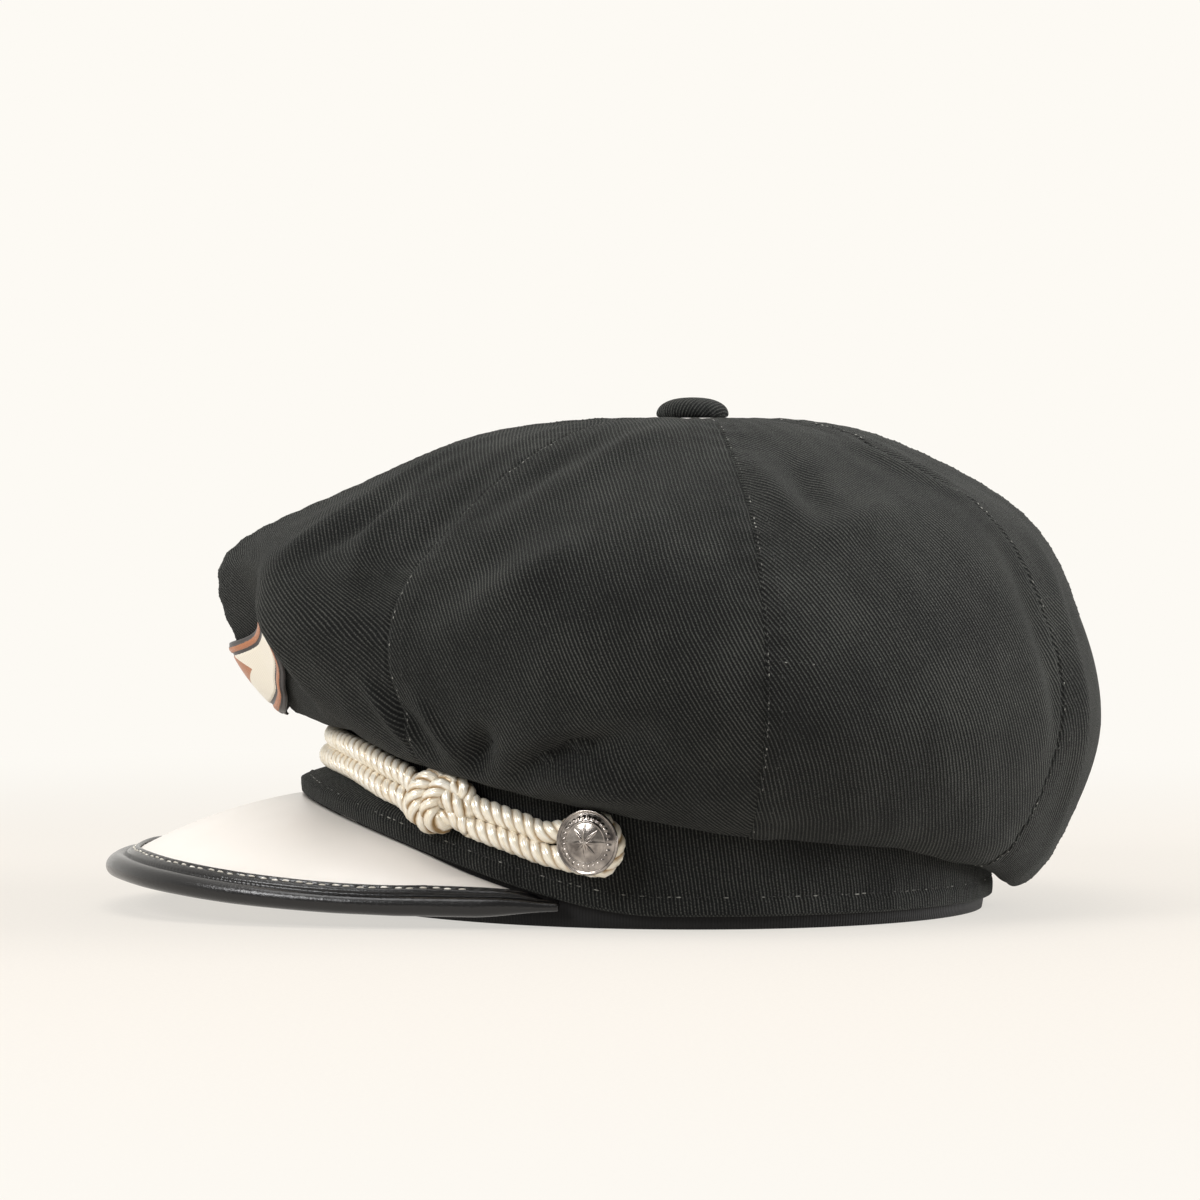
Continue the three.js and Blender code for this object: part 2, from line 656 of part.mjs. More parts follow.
function sideButtonGeometry(sign) {
  const { seat, out } = buttonFrame(sign);
  const { radius, rim, lip, shank, shankFoot, domeSeat, rise } = SIDE_BUTTON;
  const profile = [
    [0, shankFoot],
    [shank, shankFoot],
    [shank, domeSeat],
    [radius - 2 * lip, domeSeat],
    [radius, domeSeat + rim],
    [radius - lip, domeSeat + 2 * rim],
  ];
  const steps = 5;
  for (let i = 1; i <= steps; i += 1) {
    const share = 1 - i / steps;
    const height = domeSeat + 2 * rim + (rise - 2 * rim) * (1 - share ** 2);
    profile.push([(radius - lip) * share, height]);
  }
  const lathe = new THREE.LatheGeometry(profile.map(([x, y]) => new THREE.Vector2(x, y)), 24);
  lathe.applyQuaternion(new THREE.Quaternion().setFromUnitVectors(new THREE.Vector3(0, 1, 0), out));
  lathe.translate(seat.x, seat.y, seat.z);
  return lathe;
}

// ---- patch ----

// The share of the crown's outside at which it reaches a height, found by halving.
function shareOnCrown(angle, height) {
  let [low, high] = [0.05, 0.5];
  for (let i = 0; i < 40; i += 1) {
    const middle = (low + high) / 2;
    if (crownPoint(angle, middle).z < height) low = middle;
    else high = middle;
  }
  return low;
}

function onCrown(x, height, proud) {
  const angle = Math.asin(x / PATCH_REACH);
  const share = shareOnCrown(angle, height);
  const point = crownPoint(angle, share);
  return point.addScaledVector(surfaceNormal(crownPoint, angle, share), proud);
}

// A badge lying on the front of the crown, clear of the cloth, from its corners down to its tip.
function patchGeometry() {
  const { across, levels } = PATCH;
  const shares = PATCH_WIDTHS.map((row) => row.share);
  const halves = PATCH_WIDTHS.map((row) => row.half);
  const widest = halves[0];
  return cappedBar(
    (share, k) => {
      const under = k > across;
      const column = under ? 2 * across + 1 - k : k;
      const half = Math.max(smoothMirrored(shares, halves, share), PATCH.least);
      const x = THREE.MathUtils.lerp(-1, 1, column / across) * half;
      const hollow = (Math.abs(x) / widest) ** PATCH.hollow;
      const top = THREE.MathUtils.lerp(PATCH.notch, PATCH.corner, Math.min(hollow, 1));
      const height = THREE.MathUtils.lerp(top, PATCH.tip, share);
      return onCrown(x, height, under ? PATCH.clear : PATCH.clear + PATCH.wall);
    },
    (share) => onCrown(0, share === 0 ? PATCH.notch : PATCH.tip, PATCH.clear + PATCH.wall / 2),
    levels,
    2 * across + 2,
  );
}

// ---- finishes and assembly ----

const finish = {
  twill: new THREE.MeshStandardMaterial({ color: '#262725', roughness: 0.95 }),
  lining: new THREE.MeshStandardMaterial({ color: '#1e1e1d', roughness: 0.8 }),
  plate: new THREE.MeshStandardMaterial({ color: '#ece4d8', roughness: 0.4 }),
  leather: new THREE.MeshStandardMaterial({ color: '#17161a', roughness: 0.35 }),
  cord: new THREE.MeshStandardMaterial({ color: '#efe2c6', roughness: 0.5 }),
  metal: new THREE.MeshStandardMaterial({ color: '#4a474a', roughness: 0.25, metalness: 1 }),
  badge: new THREE.MeshStandardMaterial({ color: '#e8dcc2', roughness: 0.8 }),
};

const cap = new THREE.Group();

function addPiece(name, geometry, material) {
  const mesh = new THREE.Mesh(geometry, material);
  mesh.name = name;
  cap.add(mesh);
}

addPiece('crown', crownGeometry(), finish.twill);
addPiece('top_button', topButtonGeometry(), finish.twill);
addPiece('band', bandGeometry(), finish.twill);
addPiece('sweatband', sweatbandGeometry(), finish.lining);
addPiece('visor', visorGeometry(0), finish.plate);
addPiece('visor_binding', bindingGeometry(), finish.leather);
addPiece('patch', patchGeometry(), finish.badge);
addPiece('cord_front_upper', frontRunGeometry('upper'), finish.cord);
addPiece('cord_front_lower', frontRunGeometry('lower'), finish.cord);
for (const [side, sign] of [['left', 1], ['right', -1]]) {
  addPiece(`cord_knot_${side}`, knotGeometry(sign), finish.cord);
  addPiece(`cord_loop_${side}`, loopGeometry(sign), finish.cord);
  addPiece(`side_button_${side}`, sideButtonGeometry(sign), finish.metal);
}

export default cap;
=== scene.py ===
# A black twill motorcycle cap: a full crown of eight gores over a headband, an ivory visor with a
# leather-bound edge, a doubled and knotted cord across the front, and a badge. It lies by itself.
# Sizes are in millimetres, angles in degrees from the front; +X is the wearer's left.

import functools
import math

import bpy
import numpy as np
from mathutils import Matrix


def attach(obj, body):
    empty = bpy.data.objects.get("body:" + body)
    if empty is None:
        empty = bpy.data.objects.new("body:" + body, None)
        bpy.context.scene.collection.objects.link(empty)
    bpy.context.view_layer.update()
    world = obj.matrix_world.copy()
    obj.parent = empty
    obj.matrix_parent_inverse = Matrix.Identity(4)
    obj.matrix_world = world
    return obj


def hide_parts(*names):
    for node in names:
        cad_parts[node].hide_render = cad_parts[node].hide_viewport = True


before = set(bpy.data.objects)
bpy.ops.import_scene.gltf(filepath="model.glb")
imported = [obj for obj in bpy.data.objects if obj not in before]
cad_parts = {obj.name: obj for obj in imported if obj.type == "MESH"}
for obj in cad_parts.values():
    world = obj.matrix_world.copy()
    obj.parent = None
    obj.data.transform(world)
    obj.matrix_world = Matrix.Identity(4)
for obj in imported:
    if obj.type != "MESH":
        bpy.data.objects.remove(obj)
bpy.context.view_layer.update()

# ---- the twill crown ----
# Eight gores of black cotton twill are sewn from the top button down to the band. The cloth is cut
# full, so it hangs over the band, and its slack falls into soft folds between the felled seams.

MM = 0.001
GAP = 0.3
AXIS_Y = 26.0
HEAD_FRONT, HEAD_REAR, HEAD_HALF_WIDTH = 101.5, 88.0, 84.0
CROWN_WALL, CROWN_CLEAR, CROWN_TOP = 1.6, 1.1, 142.9
TOP_RING = (36.0, 141.8)

# angle, seam height, then (distance from the axis, height) for the tuck, the fold of the overhang,
# low, wide, high, shoulder and crest
CROWN_SECTIONS = np.array([
    (0, 53.6, 109, 55.2, 118, 57.6, 131, 72, 139.5, 93, 132.5, 107, 99.3, 123, 66, 137),
    (8, 53.4, 106, 54.4, 113, 56.4, 121.5, 70, 129, 90, 129.5, 106, 98.6, 122.3, 65.8, 136.8),
    (15, 52.6, 104, 53.6, 110, 55, 118, 68, 127, 87, 127.5, 105, 98, 121.4, 65.4, 136.3),
    (24, 51.6, 102, 52.4, 109, 54, 123.5, 67, 133, 86, 127.5, 103.5, 97.5, 119.8, 64.6, 135.4),
    (43, 47.6, 97, 46.8, 103.5, 44.8, 110.5, 58, 116, 78, 109, 98, 92.5, 115, 62.5, 133),
    (70, 39.5, 88.5, 37, 93, 34.6, 104, 46, 113, 70, 108.5, 95, 90, 115, 60, 132.5),
    (98, 33, 86.2, 29.5, 90.3, 26.8, 102.5, 37, 114, 62, 110, 91, 91.5, 116, 60, 133.5),
    (122, 31.5, 86.4, 26, 91.5, 23.5, 104, 33, 116, 58, 111, 89, 93, 115, 60.5, 134),
    (151, 30.5, 87.6, 20, 93, 14.5, 105.5, 24, 119, 56, 113, 88, 96, 114.5, 61.5, 134.5),
    (180, 30, 89.8, 14, 95, 5.6, 106.4, 17, 119.6, 53, 113.6, 86, 97.8, 114.2, 62.5, 134.9),
], float)
LAST_STATION = 9

# Folds of the slack cloth, each along a curve from one (angle, station) by way of another to a third;
# height is how far a ridge stands out, or a valley sinks in, and width how far it reaches.
FOLDS = [
    # from, via, to, height, width
    ((15, 7.3), (24, 6), (24.5, 4.8), 2.8, 4.3),
    ((27, 6.9), (30, 6), (26.5, 4.7), -2.2, 4.3),
    ((22, 6.9), (32, 6), (36, 4.6), 3.1, 4.3),
    ((36, 6.8), (41, 6), (41, 4.7), -3.1, 6.0),
    ((80, 7.8), (68, 7.1), (60, 6.35), 2.5, 5.2),
    ((57, 7.3), (50, 6.8), (49, 5.9), -2.8, 6.0),
    ((74, 5.8), (63, 5.1), (50, 4.25), 3.1, 7.7),
    ((61, 6.4), (58, 5.5), (50, 4.7), -2.2, 6.9),
    ((103, 7), (105, 6.3), (110, 5.7), 2.2, 5.2),
    ((110, 5.7), (116, 5.9), (132, 6.3), 2.1, 5.2),
    ((115, 6.9), (112, 6.4), (110, 6), -2.5, 5.2),
    ((142, 7.3), (138, 6.5), (153, 6.2), 2.2, 4.3),
    ((153, 7.3), (146, 6.5), (153, 6.35), -2.5, 4.3),
    ((165, 6), (144, 4.4), (170, 2.8), 2.8, 5.2),
    ((147, 6), (146, 4.5), (153, 3.2), -2.0, 5.2),
    ((57, 3.3), (55, 2.8), (52, 2.35), -5.5, 4.0),
    ((84, 3.6), (66, 3.3), (58.5, 2.3), -5.8, 4.5),
    ((86, 2.9), (74, 2.85), (64, 2.55), 4.2, 6.3),
    # small creases that only the cloth itself shows
    ((37, 3.5), (39.5, 3), (42.5, 2.4), 2.2, 2.6),
    ((41, 3.4), (44, 3), (46.5, 2.4), -2.0, 2.6),
    ((45, 3.5), (48.5, 3), (50, 2.5), 2.2, 2.6),
    ((14, 4.5), (28, 3.9), (26, 2.7), 1.7, 4.3),
]
FAR_TURN, FAR_HEIGHT = 5.0, 0.8

GORE_SEAMS = (0.0, 42.0, 99.0, 151.0, 180.0)
GORE_COLUMNS = (84, 84, 76, 44)
# the grain's turn below and above the crest, gore by gore from the front
GORE_GRAIN = ((-15.0, -46.0), (-5.0, -5.0), (-5.0, -5.0), (-5.0, -5.0))
CREST_ROW, GRAIN_TURNS = 66, 60.0
SEAM_CROWDING = 0.72
CROWN_ROWS, LINING_ROWS = 128, 30
# from rib to rib of the twill, from pick to pick along a rib, and the picks' step from rib to rib
RIB_PITCH, PICK_PITCH, PICK_STEP = 1.05, 0.9, 0.37


def ease(start, end, slope_in, slope_out, t):
    """The cubic from start to end, as t goes from 0 to 1, that begins and ends with those slopes."""
    bend = slope_in + slope_out - 2 * (end - start)
    return start + t * (slope_in + t * (end - start - slope_in - bend + t * bend))


def smooth(xs, ys, x):
    """Cubics through (x, y) rows; the first and the last row only set the end slopes."""
    x = np.asarray(x, float)
    i = np.clip(np.searchsorted(xs, x) - 1, 1, len(xs) - 3)
    wide = x.shape + (1,) * (ys.ndim - 1)
    span = (xs[i + 1] - xs[i]).reshape(wide)
    slope_in, slope_out = (
        (ys[k + 1] - ys[k - 1]) / (xs[k + 1] - xs[k - 1]).reshape(wide) * span for k in (i, i + 1)
    )
    return ease(ys[i], ys[i + 1], slope_in, slope_out, (x - xs[i]).reshape(wide) / span)


def smooth_mirrored(xs, ys, x):
    """The same, for a table that is mirrored about both of its ends."""
    xs = np.concatenate([[2 * xs[0] - xs[1]], xs, [2 * xs[-1] - xs[-2]]])
    return smooth(xs, np.concatenate([ys[1:2], ys, ys[-2:-1]]), x)


def fade(x, end):
    """1 at zero, easing to 0 where x reaches end, as half a cosine wave."""
    return (1 + np.cos(np.pi * np.minimum(np.abs(x) / end, 1))) / 2


def from_front(angle):
    """The angle from the front to either side, from 0 to 180."""
    return np.abs((np.asarray(angle, float) + 180) % 360 - 180)


def place(angle, reach, height):
    """A point at that reach from the upright axis through the top, in the angle's direction."""
    turn = np.radians(angle)
    point = reach * np.sin(turn), AXIS_Y - reach * np.cos(turn), height
    return np.stack(np.broadcast_arrays(*point), -1)


def facing(angle):
    """The level unit vector from that axis in the angle's direction."""
    return place(angle, 1, 0) - (0, AXIS_Y, 0)


def head_reach(angle):
    """The head oval: two half ellipses that share their width and differ in length."""
    turn = np.radians(angle)
    reach = np.where(np.cos(turn) > 0, HEAD_FRONT, HEAD_REAR)
    return 1 / np.hypot(np.cos(turn) / reach, np.sin(turn) / HEAD_HALF_WIDTH)


def seam_height(angle):
    """The height of the band's top edge."""
    return smooth_mirrored(CROWN_SECTIONS[:, 0], CROWN_SECTIONS[:, 1], from_front(angle))


def crown_point(angle, station):
    """The crown's outside: cubics through the section's stations, from 0 at the seam to 9 on top."""
    angle, station = np.broadcast_arrays(np.asarray(angle, float), np.asarray(station, float))
    side = smooth_mirrored(CROWN_SECTIONS[:, 0], CROWN_SECTIONS[:, 2:], from_front(angle))
    side = side.reshape(angle.shape + (7, 2))
    start = np.stack([head_reach(angle) + CROWN_CLEAR, seam_height(angle) + GAP], -1)[..., None, :]
    before = 2 * start - side[..., :1, :]
    top = np.array([TOP_RING, (0, CROWN_TOP), (-TOP_RING[0], TOP_RING[1])])
    section = np.concatenate([before, start, side, np.broadcast_to(top, angle.shape + (3, 2))], -2)
    i = np.clip(np.ceil(station).astype(int), 1, LAST_STATION)
    a, b, c, d = (
        np.take_along_axis(section, (i + k)[..., None, None], -2)[..., 0, :] for k in (-1, 0, 1, 2)
    )
    reach_and_height = ease(b, c, (c - a) / 2, (d - b) / 2, (station - (i - 1))[..., None])
    return place(angle, reach_and_height[..., 0], reach_and_height[..., 1])


def unit(vectors):
    """Each vector divided by its own length."""
    return vectors / np.maximum(np.linalg.norm(vectors, axis=-1, keepdims=True), 1e-9)


def grid_normals(points):
    """Unit normals of a grid whose rows are rings: the cross product of its central differences."""
    along = np.gradient(np.concatenate([points[:, -1:], points, points[:, :1]], 1), axis=1)[:, 1:-1]
    return unit(np.cross(along, np.gradient(points, axis=0)))


def fold_rise(points, sign):
    """Each fold swells half-way along its curve and falls off to the sides as a bell curve. On the
    wearer's right, where sign is -1, the folds are turned a little and are shallower."""
    turn, share = (FAR_TURN, FAR_HEIGHT) if sign < 0 else (0.0, 1.0)
    total = np.zeros(points.shape[:-1])
    t = np.linspace(0, 1, 15)[:, None]
    for start, via, end, height, width in FOLDS:
        route = (1 - t) ** 2 * start + 2 * t * (1 - t) * via + t ** 2 * end
        line = crown_point(sign * (route[:, 0] + turn), route[:, 1])
        reach = np.linalg.norm(np.ptp(line, 0)) / 2 + 3.5 * width
        near = np.linalg.norm(points - line.mean(0), axis=-1) < reach
        from_start, step = points[near][:, None, :] - line[:-1], np.diff(line, axis=0)
        along = np.clip((from_start * step).sum(-1) / (step ** 2).sum(-1), 0, 1)
        away = np.linalg.norm(from_start - along[..., None] * step, axis=-1) / width
        swell = np.sin(np.pi * (np.arange(len(step)) + along) / len(step))
        total[near] += height * share * (swell * np.exp(-away ** 2)).max(1)
    return total


def ripple(angle, height, scale):
    """A calm unevenness: slanting sine waves whose lengths don't repeat together."""
    a, h = np.round(110 / scale) * np.radians(angle), height / scale
    return (np.sin(a + 0.7 * h + 1.3) + np.sin(2 * a - 1.1 * h + 4.0) + np.sin(3 * a + 1.31 * h)) / 3


def grid_faces(rows, columns, around=True):
    """Quads between neighbouring rows and columns; around closes the columns into a ring."""
    i = np.arange(rows - 1)[:, None]
    j = np.arange(columns if around else columns - 1)[None, :]
    k = (j + 1) % columns
    corners = (i * columns + j, i * columns + k, (i + 1) * columns + k, (i + 1) * columns + j)
    return np.stack(np.broadcast_arrays(*corners), -1).reshape(-1, 4)


def fan_faces(ring, pole):
    """Triangles from each pair of neighbours in a ring to its pole."""
    return np.stack([ring, np.roll(ring, -1), np.full(len(ring), pole)], -1)


def tube_faces(rows, columns, first=0):
    """Quads between rings and triangles over both ends, whose two poles follow the last ring."""
    ring, pole = np.arange(columns) + first, first + rows * columns
    end = fan_faces(ring + (rows - 1) * columns, pole + 1)
    return grid_faces(rows, columns) + first, np.concatenate([fan_faces(ring, pole)[:, ::-1], end])


def corner_uv(left, right):
    """Corner uvs of ring quads from the cloth coordinates along their left and right sides."""
    return np.stack([left[:-1], right[:-1], right[1:], left[1:]], 2).reshape(-1, 4, 2)


def wrapped_uv(arc, up):
    """The same for a strip wrapped round: u from the length round, v from the length up the rows."""
    cloth = np.stack(np.meshgrid(arc, up), -1)
    return corner_uv(cloth[:, :-1], cloth[:, 1:])


def add_mesh(name, points, faces, uv=None):
    """A smooth mesh object from points in millimetres and arrays of faces, turned to face outwards
    by the sign of its volume. uv is an array of corner uvs in millimetres for each array of faces."""
    points = np.concatenate([part.reshape(-1, 3) for part in points])
    volume = 0.0
    for f in faces:
        for k in range(1, f.shape[1] - 1):
            volume += (points[f[:, 0]] * np.cross(points[f[:, k]], points[f[:, k + 1]])).sum()
    turn = -1 if volume < 0 else 1
    mesh = bpy.data.meshes.new(name)
    mesh.from_pydata(points * MM, [], [row for f in faces for row in f[:, ::turn].tolist()])
    if uv is not None:
        flat = np.concatenate([u[:, ::turn].reshape(-1, 2) for u in uv])
        mesh.uv_layers.new(name="cloth").data.foreach_set("uv", (flat * MM).astype(np.float32).ravel())
    mesh.shade_smooth()
    piece = bpy.data.objects.new(name, mesh)
    bpy.context.scene.collection.objects.link(piece)
    return piece


def gore_columns():
    """Columns that crowd towards each seam: an even share less a sine, gore by gore, both sides."""
    side = list(zip(GORE_SEAMS[:-1], GORE_SEAMS[1:], GORE_COLUMNS, GORE_GRAIN))
    both = side + [(360 - b, 360 - a, n, (-low, -high)) for a, b, n, (low, high) in reversed(side)]
    starts, ends, counts, grains = (np.array(values) for values in zip(*both))
    gores = np.repeat(np.arange(len(both)), counts)
    t = np.concatenate([np.arange(n) / n for n in counts])
    share = t - SEAM_CROWDING * np.sin(2 * np.pi * t) / (2 * np.pi)
    angles = starts[gores] + (ends - starts)[gores] * share
    return angles, gores, (starts + ends) / 2, np.radians(grains)


crown_angles, crown_gores, gore_middles, gore_grain = gore_columns()
crown_stations = np.arange(CROWN_ROWS) / CROWN_ROWS * LAST_STATION
crown_base = crown_point(crown_angles[None, :], crown_stations[:, None])
columns = len(crown_angles)

# how far each point lies from the nearest seam along its row, positive towards the back
steps = np.linalg.norm(np.roll(crown_base, -1, 1) - crown_base, axis=-1)
lengths = np.concatenate([np.zeros((CROWN_ROWS, 1)), np.cumsum(steps, 1)], 1)
seam_columns = np.append(np.flatnonzero(np.diff(crown_gores, prepend=-1)), columns)
offsets = lengths[:, :-1, None] - lengths[:, None, seam_columns]
off_seam = np.take_along_axis(offsets, np.abs(offsets).argmin(-1)[..., None], -1)[..., 0]
behind = off_seam * np.where(crown_angles < 180, 1, -1)
climb = np.zeros((CROWN_ROWS, columns))
climb[1:] = np.cumsum(np.linalg.norm(np.diff(crown_base, axis=0), axis=-1), 0)

# the seam's groove, the felled allowance behind it, the puckers that the thread draws along it, and
# the unevenness of the cloth between the folds
groove = -0.4 * np.exp(-(off_seam / 0.7) ** 2)
allowance = 0.16 * fade(np.maximum(np.abs(behind - 3.4) - 2.4, 0), 2.2)
pucker = 0.2 * np.sin(2 * np.pi * climb / 7.5 + 2 * np.sin(climb / 11)) * np.exp(-(off_seam / 7) ** 2)
rise = fold_rise(crown_base, 1) + fold_rise(crown_base, -1)
rise += 0.5 * ripple(crown_angles, crown_base[..., 2], 17)
rise += 0.2 * ripple(crown_angles, crown_base[..., 2] + 31, 7)
rise *= np.minimum(crown_stations / 1.5, 1)[:, None]
settle = fade(np.maximum(crown_stations - 8.2, 0), 0.8)[:, None]
relief = (rise + groove + allowance + pucker) * settle
crown_skin = crown_base + grid_normals(crown_base) * relief[..., None]
crown_normals = grid_normals(crown_skin)

lining_rows = np.linspace(0, CROWN_ROWS - 1, LINING_ROWS).round().astype(int)
inside = (crown_skin - crown_normals * CROWN_WALL)[lining_rows]
poles = np.array([(0, AXIS_Y, CROWN_TOP), (0, AXIS_Y, CROWN_TOP - CROWN_WALL)])
shell_faces = tube_faces(CROWN_ROWS + LINING_ROWS, columns)

# each gore is its own length of cloth: u is the distance from the plane through its middle line, v
# the climb of that line at the same row plus the step along its slope, both turned to the grain
middle_columns = np.array([np.abs(crown_angles - m).argmin() for m in gore_middles])[crown_gores]
toward = facing(crown_angles[middle_columns])
sideways = np.stack([-toward[:, 1], toward[:, 0], 0 * toward[:, 0]], -1)
middle_line, middle_climb = crown_base[:, middle_columns], climb[:, middle_columns]
slope = unit(np.gradient(middle_line, axis=0))
row_order = np.concatenate([np.arange(CROWN_ROWS)[::-1], lining_rows])


def gore_cloth(points):
    """Cloth coordinates of points in the gores of the columns, turned to each gore's grain."""
    u = ((points - middle_line) * sideways).sum(-1)
    v = middle_climb - middle_climb[CREST_ROW] + ((points - middle_line) * slope).sum(-1)
    low, high = gore_grain[crown_gores].T
    above = 1 - fade(np.clip(v + GRAIN_TURNS, 0, 2 * GRAIN_TURNS), 2 * GRAIN_TURNS)
    grain = low + (high - low) * above
    sine, cosine = np.sin(grain), np.cos(grain)
    return np.stack([u * cosine - v * sine, u * sine + v * cosine], -1)[row_order]


gore_uv = corner_uv(gore_cloth(crown_base), gore_cloth(np.roll(crown_base, -1, 1)))
fan_uv = np.zeros((2 * columns, 3, 2)) + (0, climb.max())
crown = add_mesh("crown_cloth", [crown_skin[::-1], inside, poles], shell_faces, [gore_uv, fan_uv])


def linear(colour):
    """An sRGB hex colour as linear light with full alpha, for a shader."""
    parts = [int(colour[i:i + 2], 16) / 255 for i in (1, 3, 5)]
    return tuple(c / 12.92 if c <= 0.04045 else ((c + 0.055) / 1.055) ** 2.4 for c in parts) + (1.0,)


def add_node(tree, kind, *inputs, out=None, stops=(), **named):
    """Adds a node and returns its output of that name, or else its first in use. Each input is a value
    or an output to link. They fill the first sockets in turn; a name with a capital is a socket's,
    any other name is a setting's, and stops are a ramp's (position, sRGB hex) pairs."""
    node = tree.nodes.new("ShaderNode" + kind)
    sockets = dict(enumerate(inputs))
    for key, value in named.items():
        if key[0].isupper():
            sockets[key.replace("_", " ")] = value
        else:
            setattr(node, key, value)
    for key, value in sockets.items():
        if isinstance(value, bpy.types.NodeSocket):
            tree.links.new(value, node.inputs[key])
        else:
            node.inputs[key].default_value = value
    for k, (position, colour) in enumerate(stops):
        elements = node.color_ramp.elements
        element = elements[k] if k < 2 else elements.new(position)
        element.position, element.color = position, linear(colour)
    return node.outputs[out] if out else next((s for s in node.outputs if s.enabled), None)


def scale_of(size):
    """A pattern's scale, as a whole number to the metre, from the width of its cells in millimetres."""
    return round(1 / (size * MM))


def new_material(name):
    """An empty material, and the function that adds its nodes."""
    material = bpy.data.materials.new(name)
    material.use_nodes = True
    material.node_tree.nodes.clear()
    return material, functools.partial(add_node, material.node_tree)


def twill(name, lean, lint=1.0):
    """Black cotton twill: a matt cloth whose slanting ribs show as fine broken lines, painted darker
    in their grooves and lighter on their crests as painted shade, and whose raised fibres give it a
    grey bloom where it turns away. lean is the ribs' slant from upright and lint how strongly its
    specks show."""
    material, add = new_material(name)
    uv = add("UVMap", uv_map="cloth")
    # the cloth is never quite square, so the ribs wander
    drift = add("TexNoise", Vector=uv, Scale=scale_of(22.2), Detail=4, Roughness=0.55, out="Color")
    shift = add("VectorMath", drift, (0.5, 0.5, 0.5), operation="SUBTRACT")
    bent = add("VectorMath", shift, (1.6 * MM, 1.6 * MM, 0), uv, operation="MULTIPLY_ADD")
    turn = math.radians(lean)
    across = add("VectorMath", bent, (math.cos(turn), math.sin(turn), 0), operation="DOT_PRODUCT")
    along = add("VectorMath", bent, (-math.sin(turn), math.cos(turn), 0), operation="DOT_PRODUCT")
    # ribs side by side, each crossed by picks that are set off from the last rib's
    count = add("Math", across, 1 / (RIB_PITCH * MM), operation="MULTIPLY")
    wave = add("Math", count, 0.5, operation="PINGPONG")
    row = add("Math", count, operation="FLOOR")
    step = add("Math", row, PICK_STEP, operation="MULTIPLY")
    picks = add("Math", along, 1 / (PICK_PITCH * MM), step, operation="MULTIPLY_ADD")
    pick = add("Math", picks, 0.5, operation="PINGPONG")
    fibre = add("TexNoise", Vector=uv, Scale=scale_of(0.4545), Detail=3, Roughness=0.75)
    ribs = add("Math", wave, 1.05, fibre, operation="MULTIPLY_ADD")
    height = add("Math", pick, 0.14, ribs, operation="MULTIPLY_ADD")
    worn = add("TexNoise", Vector=uv, Scale=scale_of(33.3), Detail=4, Roughness=0.6)
    level = add("Math", height, 0.78, operation="MULTIPLY")
    tone = add("Math", worn, 0.3, level, operation="MULTIPLY_ADD")
    # painted shade: the ramp turns the height of the ribs into colour, darker in the grooves and lighter on
    # the crests, with the random wear mixed in
    painted_rib_shade_stops = [(0.48, "#060707"), (0.71, "#111212"), (0.87, "#262726"), (1.0, "#4f504c")]
    cloth = add("ValToRGB", tone, stops=painted_rib_shade_stops)
    # a few specks of lint
    speck = add("TexVoronoi", Vector=uv, Scale=scale_of(3.03))
    near = add("MapRange", speck, From_Max=0.07, To_Min=lint, To_Max=0)
    rare = add("TexNoise", Vector=uv, Scale=scale_of(2.38))
    some = add("MapRange", rare, From_Min=0.55, From_Max=0.6)
    here = add("Math", near, some, operation="MULTIPLY")
    shader = add(
        "BsdfPrincipled", Roughness=0.95, Specular_IOR_Level=0.2, Sheen_Weight=0.12, Sheen_Roughness=0.3,
        Base_Color=add("Mix", Factor=here, A=cloth, B=linear("#7d7d76"), data_type="RGBA"),
        Sheen_Tint=linear("#c6c8c2"), Normal=add("Bump", Height=height, Strength=0.95, Distance=0.6 * MM),
    )
    add("OutputMaterial", shader)
    return material


crown.data.materials.append(twill("black_cotton_twill", lean=20))
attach(crown, "root")
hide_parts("crown")

# ---- stitching of the crown ----
# Black cotton thread in two rows behind each seam, which hold the felled allowance down, and a short
# level row behind each side seam, drawn grey as painted glints. The stitches are sunk half their
# thickness into the cloth.

STITCH_PITCH, THREAD_WIDTH = 1.9, 0.34
# distance behind the seam, and the thread's colour, a painted glint, lighter in the row nearer the seam
SEAM_ROWS = ((0.9, "#9a9a94"), (4.6, "#3c3c3a"))
ROW_ENDS = (1.6, 8.3)
SIDE_ROW_ENDS, SIDE_ROW_STATION = (99.5, 106.5), 4.5


def sample_crown(values, angle, station):
    """Bilinear reading of a grid of the crown's skin at an angle and a station."""
    column = np.interp(angle % 360, np.append(crown_angles, 360), np.arange(columns + 1))
    row = np.clip(station / LAST_STATION * CROWN_ROWS, 0, CROWN_ROWS - 1.001)
    i, j = row.astype(int), column.astype(int)
    s, t = (row - i)[:, None], (column - j)[:, None]
    low, high = (values[k, j] * (1 - t) + values[k, (j + 1) % columns] * t for k in (i, i + 1))
    return low * (1 - s) + high * s


def run_of(points):
    """The length run up to each point of a line."""
    return np.append(0, np.cumsum(np.linalg.norm(np.diff(points, axis=0), axis=-1)))


def read_at(at, run, values):
    """Rows of values along a line, read at lengths run."""
    return np.stack([np.interp(at, run, column) for column in values.T], -1)


def at_pitch(points, normals, pitch):
    """Points, directions and normals at an even pitch along a line."""
    run = run_of(points)
    at = np.arange(pitch / 2, run[-1], pitch)
    along = read_at(at + 0.3, run, points) - read_at(at - 0.3, run, points)
    return read_at(at, run, points), along, read_at(at, run, normals)


def square_to(axis, vectors):
    """The unit vectors at right angles to an axis that lie nearest the given ones."""
    return unit(vectors - (vectors * axis).sum(-1, keepdims=True) * axis)


